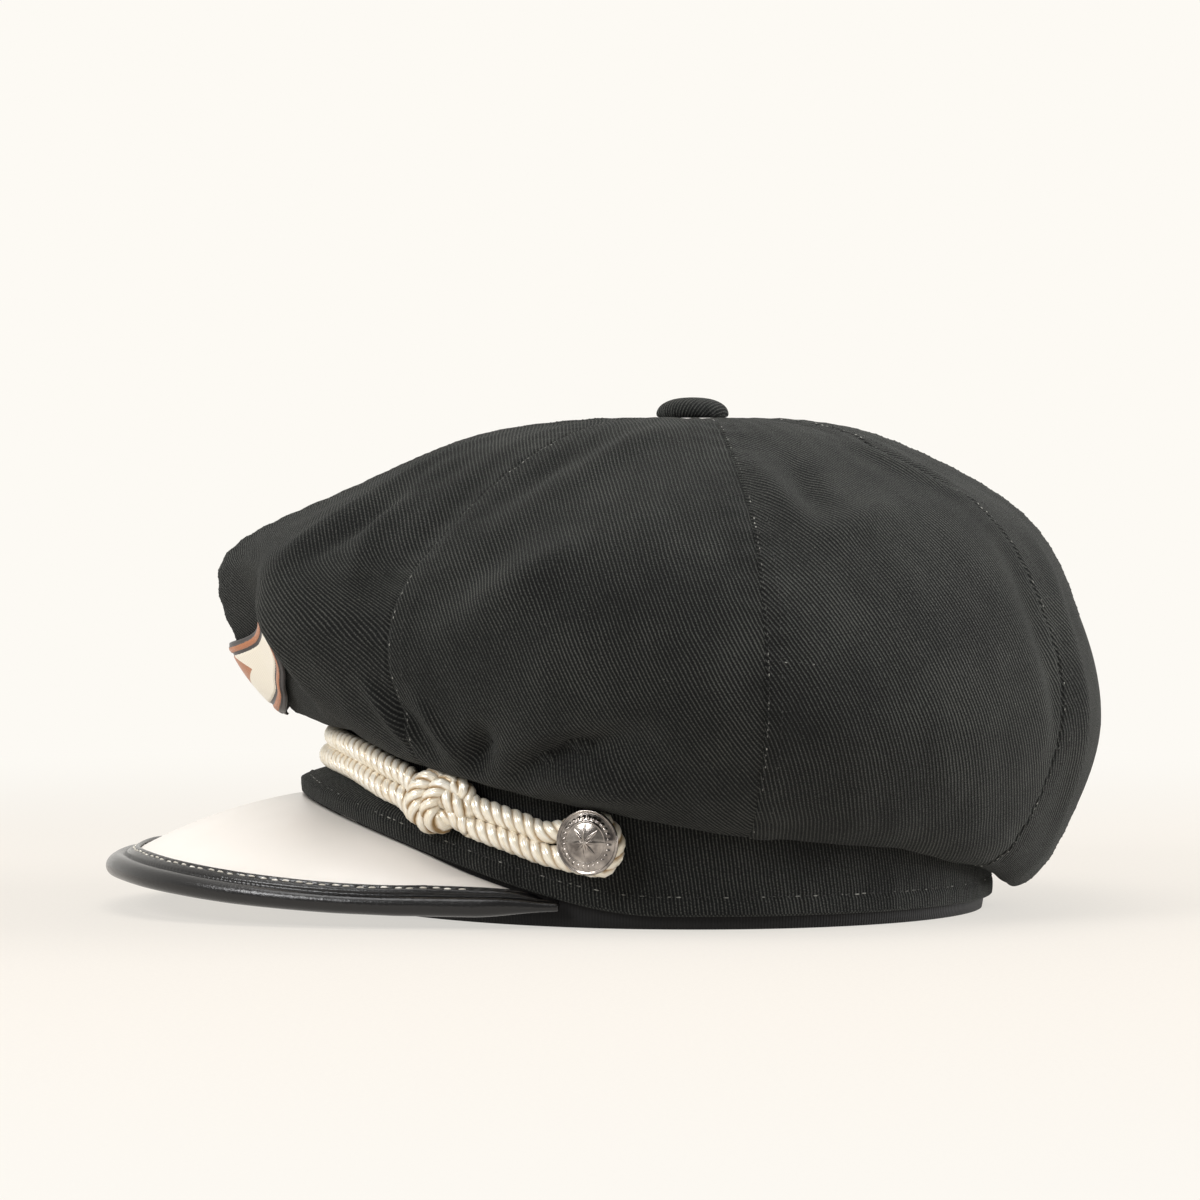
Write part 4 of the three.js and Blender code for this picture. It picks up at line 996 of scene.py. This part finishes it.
def satin(name):
    """Ivory rayon satin: fine parallel yarns along each strand that gleam in streaks, each painted lighter
    along its crest as a painted highlight, with painted shade, warmer and darker, in the grooves
    between the strands, and the odd darker yarn."""
    material, add = new_material(name)
    uv = add("UVMap", uv_map="cloth")
    turn = math.radians(YARN_SLANT)
    drift = add("TexNoise", Vector=uv, Scale=scale_of(3.85))
    across = add("VectorMath", uv, (math.cos(turn), math.sin(turn), 0), operation="DOT_PRODUCT")
    bent = add("Math", drift, 0.4 * MM, across, operation="MULTIPLY_ADD")
    # the yarns are drawn coarser than the real ones, so that they show
    count = add("Math", bent, 1 / (YARN_PITCH * MM), operation="MULTIPLY")
    yarn = add("Math", count, 0.5, operation="PINGPONG")
    row = add("Math", count, operation="FLOOR")
    random = add("TexWhiteNoise", W=row, noise_dimensions="1D")
    # painted highlight: each yarn's crest adds to the tone, so it is drawn lighter along its middle
    tone = add("Math", random, 0.55, yarn, operation="MULTIPLY_ADD")
    silk_with_painted_gleam = add("ValToRGB", tone, stops=[(0.0, "#e6d3b0"), (0.35, "#faf0dc"), (1.0, "#fffdf6")])
    # painted shade: away from each strand's outermost line, towards the grooves, the colour turns to a warm
    # brown
    girth = add("SeparateXYZ", uv, out="X")
    inmost = add("Math", girth, math.pi * STRAND_RADIUS * MM, operation="PINGPONG")
    groove = add("MapRange", inmost, From_Min=0.9 * MM, From_Max=2.1 * MM)
    shader = add(
        "BsdfPrincipled", Metallic=0.3, Roughness=0.27, Specular_IOR_Level=0.9, Sheen_Weight=0.3,
        Sheen_Roughness=0.3, Sheen_Tint=linear("#fff6e4"),
        Base_Color=add("Mix", Factor=groove, A=silk_with_painted_gleam, B=linear("#a98a5c"), data_type="RGBA"),
        Normal=add("Bump", Height=yarn, Strength=0.7, Distance=0.2 * MM),
    )
    add("OutputMaterial", shader)
    return material


cord_satin = satin("ivory_satin_rope")


def lower_half(sign):
    """From behind the knot along the upper run, round the button, back along the lower run, through
    the knot with a sag, and on towards the middle of the front: stretches of (points, outward)."""
    seat, out, back = button_frame(sign)
    turn = np.radians(np.linspace(BEND_END, -BEND_END, 7))[:, None]
    bend = seat + out * (ROPE_RADIUS + 2 * GAP + BEND_OFF) + BEND_RADIUS * np.cos(turn) * back
    bend = bend + (BEND_RADIUS * np.sin(turn) - BEND_DROP) * (0, 0, 1)
    return [
        knot_points(sign, TAIL_ROUTE),
        (cord_point(UPPER, sign * LOOP_ANGLES), None),
        (bend, out),
        (cord_point(LOWER, sign * LOOP_ANGLES[::-1]), None),
        knot_points(sign, [*SAG_ROUTE, RUN_STARTS[LOWER]]),
        (cord_point(LOWER, sign * FRONT_ANGLES), None),
    ]


def upper_half(sign):
    """From the end under the lower run up across the knot, and on towards the middle of the front."""
    crossing = knot_points(sign, [*CROSSING_ROUTE, RUN_STARTS[UPPER]])
    return [crossing, (cord_point(UPPER, sign * FRONT_ANGLES), None)]


paths = []
for run, half in ((UPPER, upper_half), (LOWER, lower_half)):
    far = [(points[::-1], out) for points, out in reversed(half(-1))]
    paths.append(Path([*half(1), (cord_point(run, [0.0]), None), *far]))


def run_start(run, sign):
    """The length at which a run leaves a knot."""
    return paths[run].length_to(knot_points(sign, RUN_STARTS[run])[0])


for run, name in ((UPPER, "cord_front_upper"), (LOWER, "cord_front_lower")):
    rope = add_rope(name + "_rope", strands(paths[run], run_start(run, 1), run_start(run, -1)))
    rope.data.materials.append(cord_satin)
    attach(rope, "root")
    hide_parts(name)

# ---- the knots and the loops round the buttons ----
# At each knot the upper length crosses down to the lower run and a bight of it goes over both runs.
# Beyond it the lower length goes back to the button, round its shank and forwards again.

JOIN = 0.03
# two turns side by side, from behind the runs up over them, behind and over once more
BIGHT_ROUTE = [
    (1.0, -5.0, -1.2), (-1.2, -6.3, 0.8), (-3.5, -4.8, 3.6), (-4.7, -1.2, 5.4), (-3.9, 3.2, 5.6),
    (-1.6, 6.2, 4.4), (0.8, 6.9, 1.6), (2.0, 4.4, -1.2), (2.4, 0.0, -1.7), (2.8, -4.2, -1.4),
    (2.6, -6.1, 0.9), (0.8, -5.2, 3.4), (-0.1, -2.4, 4.6), (0.9, 1.4, 4.8), (2.9, 4.6, 4.0),
    (4.8, 5.6, 2.2), (5.8, 4.4, 0.0),
]

upper, lower = paths
for sign, label in ((1, "left"), (-1, "right")):
    gap = sign * JOIN
    leave, back = (lower.length_to(cord_point(run, sign * LOOP_ANGLES[0])) for run in (UPPER, LOWER))
    tail = lower.length_to(knot_points(sign, TAIL_ROUTE[0])[0])
    end = upper.length_to(knot_points(sign, CROSSING_ROUTE[0])[0])

    loop = add_rope("cord_loop_" + label + "_rope", strands(lower, *sorted((leave + gap, back - gap))))
    loop.data.materials.append(cord_satin)
    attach(loop, "root")
    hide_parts("cord_loop_" + label)

    bight = Path([knot_points(sign, BIGHT_ROUTE)])
    knot = add_rope(
        "cord_knot_" + label + "_rope",
        strands(lower, *sorted((tail, leave - gap)), squeeze=0.97),
        strands(lower, *sorted((back + gap, run_start(LOWER, sign) - gap))),
        strands(upper, *sorted((end, run_start(UPPER, sign) - gap)), squeeze=0.97),
        strands(bight, 0, bight.run[-1], squeeze=0.92),
    )
    knot.data.materials.append(cord_satin)
    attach(knot, "root")
    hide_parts("cord_knot_" + label)

# ---- the side buttons ----
# A pressed and blackened metal button at each temple, on a shank that the cord goes round: a raised
# rim, a ring of beads inside it and a plain eight-pointed star in the middle.

SIDE_RADIUS, FIELD_RADIUS, SIDE_RISE = 9.2, 8.25, 3.4
SHANK, SHANK_FOOT, RIM_BACK = 2.4, GAP + 0.9, 2 * ROPE_RADIUS + 8 * GAP
SIDE_COLUMNS, FIELD_ROWS = 192, 64
BEADS, POINTS = 28, 8
# reach from the button's middle and height above the rim's back, from the shank round the rim
RIM_PROFILE = np.array([
    (SHANK, -0.3), (SHANK + 0.3, 0), (8.4, 0), (8.9, 0.15), (9.16, 0.5), (SIDE_RADIUS, 0.85),
    (9.08, 1.2), (8.85, 1.36), (8.6, 1.34), (8.42, 1.2),
])


def pressed(reach, turn):
    """The relief above the dome: beads that are half ellipsoids, a ring whose section is a bell curve,
    and a star that falls from its middle to each point, with every other point shorter."""
    around = BEADS * turn / (2 * np.pi)
    bead = np.maximum(0, 1 - ((reach - 6.95) / 0.55) ** 2 - ((around % 1 - 0.5) / 0.36) ** 2) ** 0.5
    ring = np.exp(-((reach - 5.85) / 0.22) ** 2)
    point = POINTS * turn / (2 * np.pi)
    arm = 1 - np.abs(2 * (point % 1) - 1)
    length = np.where(point.astype(int) % 2 == 0, 5.2, 3.6)
    star = 0.75 * np.clip(1 - reach / (0.9 + length * (1 - arm) ** 1.6), 0, 1)
    return 0.32 * bead + 0.2 * ring + np.minimum(star, 0.42)


def gunmetal(name):
    """Blackened brass: a dark mirror whose polish varies with fine handling scratches, and patches of
    dull oxide."""
    material, add = new_material(name)
    where = add("TexCoord", out="Object")
    stretched = add("Mapping", Vector=where, Scale=(1, 1, 6), Rotation=(0.4, 0, 0.3))
    scratch = add("TexNoise", Vector=stretched, Scale=scale_of(0.5556), Detail=4)
    oxide = add("TexNoise", Vector=where, Scale=scale_of(3.85), Detail=4)
    shader = add(
        "BsdfPrincipled", Base_Color=add("ValToRGB", oxide, stops=[(0.35, "#6b6562"), (0.7, "#bdb5ae")]),
        Metallic=1, Roughness=add("MapRange", scratch, To_Min=0.1, To_Max=0.26),
        Normal=add("Bump", Height=scratch, Strength=0.2, Distance=0.04 * MM),
    )
    add("OutputMaterial", shader)
    return material


blackened = gunmetal("blackened_brass_button")
turn = np.arange(SIDE_COLUMNS) / SIDE_COLUMNS * 2 * np.pi
field = np.linspace(FIELD_RADIUS, 0.05, FIELD_ROWS)[:, None]
bulge = RIM_BACK + 1 + (SIDE_RISE - 1.3) * (1 - (field / FIELD_RADIUS) ** 2) + pressed(field, turn)
profile = np.concatenate([[(SHANK, SHANK_FOOT)], RIM_PROFILE + (0, RIM_BACK)])
reach = np.concatenate([profile[:, :1], field])
proud = np.concatenate([profile[:, 1:] + 0 * turn, np.minimum(bulge, RIM_BACK + SIDE_RISE + 0.3)])
for sign, label in ((1, "left"), (-1, "right")):
    seat, out, back = button_frame(sign)
    spokes = np.cos(turn)[:, None] * back + np.sin(turn)[:, None] * (0, 0, 1)
    skin = seat + out * proud[..., None] + reach[..., None] * spokes
    poles = seat + out * [[SHANK_FOOT], [proud[-1, 0]]]
    faces = tube_faces(len(reach), SIDE_COLUMNS)
    side_button = add_mesh("side_button_" + label + "_metal", [skin, poles], faces)
    side_button.data.materials.append(blackened)
    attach(side_button, "root")
    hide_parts("side_button_" + label)

# ---- the badge ----
# An embroidered badge on the front of the crown: dark felt edged with copper satin stitch, and within
# it a cream satin field with one plain copper lozenge. It lies on the cloth, following its curve.

PATCH_WALL, PATCH_CLEAR = 1.5, 1.55
PATCH_CORNER, PATCH_NOTCH, PATCH_TIP = 91.3, 78.0, 57.5
PATCH_BEND, PATCH_BLUNT = 125.0, 0.8
PATCH_ROWS, PATCH_COLUMNS = 120, 151
THREAD_PITCH, FILL_PITCH = 0.45, 0.5
LOZENGE_HEIGHT, LOZENGE_REACH = 71, 5.2
# share of the way down from the corners to the tip, and half the width there
PATCH_WIDTHS = np.array([(0, 31.5), (0.3, 31.3), (0.5, 28), (0.66, 20), (0.8, 15.5), (0.93, 8), (1, 0)])


def station_at(angle, height):
    """The station where the crown's outside reaches a height, found by halving between one just above
    the seam and one just above the widest place, between which the crown only rises."""
    low, high = np.full(height.shape, 0.45), np.full(height.shape, 4.5)
    for _ in range(30):
        middle = (low + high) / 2
        under = crown_point(angle, middle)[..., 2] < height
        low, high = np.where(under, middle, low), np.where(under, high, middle)
    return low


def patch_base(x, height):
    """A point of the crown's plain outside and its normal, from the width and the height of the badge."""
    angle = np.degrees(np.arcsin(x / PATCH_BEND))
    station = station_at(angle, height)
    along = crown_point(angle + 0.01, station) - crown_point(angle - 0.01, station)
    up = crown_point(angle, station + 1e-3) - crown_point(angle, station - 1e-3)
    return crown_point(angle, station), unit(np.cross(along, up))


def border_of(grid):
    """The points round a grid, from its first corner along the first row."""
    return np.concatenate([grid[0], grid[1:, -1], grid[-1, -2::-1], grid[-2:0:-1, 0]])


share = np.linspace(0, 1, PATCH_ROWS)[:, None]
half_width = smooth_mirrored(PATCH_WIDTHS[:, 0], PATCH_WIDTHS[:, 1], share)
x = np.linspace(-1, 1, PATCH_COLUMNS) * np.maximum(half_width, PATCH_BLUNT)
top = PATCH_NOTCH + (PATCH_CORNER - PATCH_NOTCH) * np.minimum(np.abs(x) / PATCH_WIDTHS[0, 1], 1) ** 1.9
flat = np.stack([x, top + (PATCH_TIP - top) * share], -1)

# the distance from each point to the rim, and how far round the rim its nearest point lies
rim = border_of(flat)
rim = np.concatenate([rim, rim[:1]])
start, along, rim_run = rim[:-1], np.diff(rim, axis=0), run_of(rim)
from_start = flat[..., None, :] - start
t = np.clip((from_start * along).sum(-1) / np.maximum((along ** 2).sum(-1), 1e-9), 0, 1)
away = np.linalg.norm(from_start - t[..., None] * along, axis=-1)
closest = away.argmin(-1)
from_rim = away.min(-1)
rim_at = rim_run[closest] + np.take_along_axis(t, closest[..., None], -1)[..., 0] * np.diff(rim_run)[closest]

# felt, raised border and raised field, from the rim inwards
felt = 0.55 * (1 - np.exp(-from_rim / 0.35))
border = 0.5 * np.clip(1 - ((from_rim - 1.7) / 0.95) ** 2, 0, 1) ** 0.5
field = 0.38 * np.clip((from_rim - 3.4) / 0.5, 0, 1) ** 0.5
point, normal = patch_base(*np.moveaxis(flat, -1, 0))
face = point + normal * (PATCH_CLEAR + PATCH_WALL - 1 + felt + border + field)[..., None]
back = point + normal * PATCH_CLEAR
front_quads = grid_faces(PATCH_ROWS, PATCH_COLUMNS, around=False)
edge = border_of(np.arange(x.size).reshape(x.shape))
edge_quads = np.stack([edge + x.size, np.roll(edge, -1) + x.size, np.roll(edge, -1), edge], -1)
quads = np.concatenate([front_quads, edge_quads, front_quads[:, ::-1] + x.size])
patch_uv = np.tile(flat.reshape(-1, 2), (2, 1))[quads]
patch = add_mesh("badge_embroidery", [face, back], [quads], [patch_uv])
for name, front, behind in (("from_rim", from_rim, 0 * from_rim), ("rim_at", rim_at, rim_at)):
    attribute = patch.data.attributes.new(name, "FLOAT", "POINT")
    attribute.data.foreach_set("value", np.append(front, behind).astype(np.float32))


def embroidery(name):
    """Felt and satin stitch in three zones by distance from the rim: matt dark felt, a copper border
    whose threads lie across it, and a cream field of slanting threads."""
    material, add = new_material(name)
    uv = add("UVMap", uv_map="cloth")
    inward = add("Attribute", attribute_name="from_rim", out="Fac")
    around = add("Attribute", attribute_name="rim_at", out="Fac")
    rag = add("TexNoise", Vector=uv, Scale=scale_of(0.6667), Detail=2)
    depth = add("Math", rag, 0.35, inward, operation="MULTIPLY_ADD")
    border = add("Math", depth, 1.95, 0.72, operation="COMPARE")
    field = add("Math", depth, 3.55, operation="GREATER_THAN")
    # the threads are drawn coarser than the real ones, so that they show
    rows = add("Math", around, 1 / THREAD_PITCH, operation="MULTIPLY")
    stitch = add("Math", rows, 0.5, operation="PINGPONG")
    slant = (0.5 / (FILL_PITCH * MM), 0.86 / (FILL_PITCH * MM), 0)
    fill = add("Math", add("VectorMath", uv, slant, operation="DOT_PRODUCT"), 0.5, operation="PINGPONG")
    # the lozenge: the upright distance from its centre and 0.6 of the level one add up to its reach
    flat = add("VectorMath", uv, (0.6, 1, 0), (0, -LOZENGE_HEIGHT * MM, 0), operation="MULTIPLY_ADD")
    away = add("VectorMath", flat, operation="ABSOLUTE")
    reach = add("VectorMath", away, (1, 1, 0), operation="DOT_PRODUCT")
    within = add("Math", reach, LOZENGE_REACH * MM, operation="LESS_THAN")
    # painted shade: the copper and cream threads are drawn lighter on their crests and darker where they meet
    copper = add("ValToRGB", stitch, stops=[(0.05, "#86441c"), (0.5, "#cb7f43")])
    cream = add("ValToRGB", fill, stops=[(0.0, "#d6cab4"), (0.4, "#f6f0e2")])
    felt = add("ValToRGB", rag, stops=[(0.3, "#1b1615"), (0.8, "#3a302d")])
    outer = add("Mix", Factor=border, A=felt, B=copper, data_type="RGBA")
    inner = add("Mix", Factor=within, A=cream, B=copper, data_type="RGBA")
    on_border = add("Math", stitch, border, operation="MULTIPLY")
    height = add("Math", fill, field, on_border, operation="MULTIPLY_ADD")
    shader = add(
        "BsdfPrincipled", Base_Color=add("Mix", Factor=field, A=outer, B=inner, data_type="RGBA"),
        Roughness=0.6, Sheen_Weight=0.3, Normal=add("Bump", Height=height, Strength=0.7, Distance=0.2 * MM),
    )
    add("OutputMaterial", shader)
    return material


patch.data.materials.append(embroidery("embroidered_felt_badge"))
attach(patch, "root")
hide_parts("patch")

# ---- the studio ----
# A pale paper floor that runs off into a white backdrop, three soft lights, one overhead, one behind
# the cap and one in front of its left, and a camera level with its side.

FLOOR_RADII = (150, 400, 900, 1600, 2600, 6000)
FLOOR_SIDES, FLOOR_DROP = 96, 0.15
BACKDROP = "#fdfaf4"
# the camera's place in metres, how far it looks down, and its lens
CAMERA_PLACE, CAMERA_DIP, CAMERA_LENS = (1.5, -0.0012, 0.132), 1.617, 153

scene = bpy.context.scene
scene.view_settings.view_transform = "Standard"
world = bpy.data.worlds.new("studio_air")
scene.world = world
world.use_nodes = True
world.node_tree.nodes.clear()
add = functools.partial(add_node, world.node_tree)
# the air is bright behind the cap and dims towards the camera's side, so that the near cloth stays dark
side = add("SeparateXYZ", add("TexCoord", out="Generated"), out="X")
glow = add(
    "MapRange", side, From_Min=-0.1, From_Max=0.75, To_Min=1, To_Max=0.31, interpolation_type="SMOOTHSTEP",
)
add("OutputWorld", add("Background", Color=linear(BACKDROP), Strength=glow))

turn = np.arange(FLOOR_SIDES) / FLOOR_SIDES * 2 * np.pi
radii = np.array(FLOOR_RADII)[:, None]
rings = np.stack([radii * np.cos(turn), radii * np.sin(turn), 0 * radii * turn - FLOOR_DROP], -1)
middle = np.array([(0, 0, -FLOOR_DROP)])
floor_faces = [
    grid_faces(len(FLOOR_RADII), FLOOR_SIDES),
    fan_faces(np.arange(FLOOR_SIDES), len(FLOOR_RADII) * FLOOR_SIDES)[:, ::-1],
]
floor = add_mesh("studio_floor", [rings, middle], floor_faces)


def paper(name):
    """Matt white paper mixed with a glow of the backdrop's own brightness: beside the cap the glow is
    already 0.62 of the mix, a painted glow that lightens the shadows there, and with distance it takes
    over, so that no edge of the floor shows."""
    material, add = new_material(name)
    where = add("TexCoord", out="Object")
    far = add("VectorMath", where, operation="LENGTH")
    share = add(
        "MapRange", far, From_Min=0.15, From_Max=0.8, To_Min=0.62, interpolation_type="SMOOTHSTEP",
    )
    mottle = add("TexNoise", Vector=where, Scale=scale_of(1.111), Detail=2)
    matt = add("BsdfDiffuse", add("ValToRGB", mottle, stops=[(0.35, "#bfb6ad"), (0.65, "#c5bdb3")]))
    # a painted glow: the floor's emission lightens the shadows beside the cap
    light = add("Emission", linear(BACKDROP))
    add("OutputMaterial", add("MixShader", share, matt, light))
    return material


floor.data.materials.append(paper("white_paper_floor"))


def add_light(name, location, target, size, watts):
    """A rectangular soft light at a place in metres, aimed at a target."""
    lamp = bpy.data.lights.new(name, "AREA")
    lamp.shape = "RECTANGLE"
    lamp.size, lamp.size_y = size
    lamp.energy = watts
    holder = bpy.data.objects.new(name, lamp)
    scene.collection.objects.link(holder)
    holder.location = location
    x, y, z = np.array(target) - np.array(location)
    holder.rotation_euler = (math.atan2(math.hypot(x, y), -z), 0, math.atan2(x, -y) + math.pi)


add_light("overhead_softbox", (0.25, -0.15, 1.3), (0, 0, 0.05), (0.9, 0.7), 7)
add_light("rear_softbox", (-0.05, 1.5, 0.5), (0, 0.05, 0.08), (0.9, 0.9), 30)
add_light("front_left_softbox", (0.9, -0.9, 0.8), (0, 0, 0.06), (0.5, 0.5), 12)

camera = bpy.data.objects.new("camera", bpy.data.cameras.new("camera"))
scene.collection.objects.link(camera)
camera.data.lens = CAMERA_LENS
camera.data.sensor_width = 36
camera.location = CAMERA_PLACE
camera.rotation_euler = (math.radians(90 - CAMERA_DIP), 0, math.radians(90))
scene.camera = camera
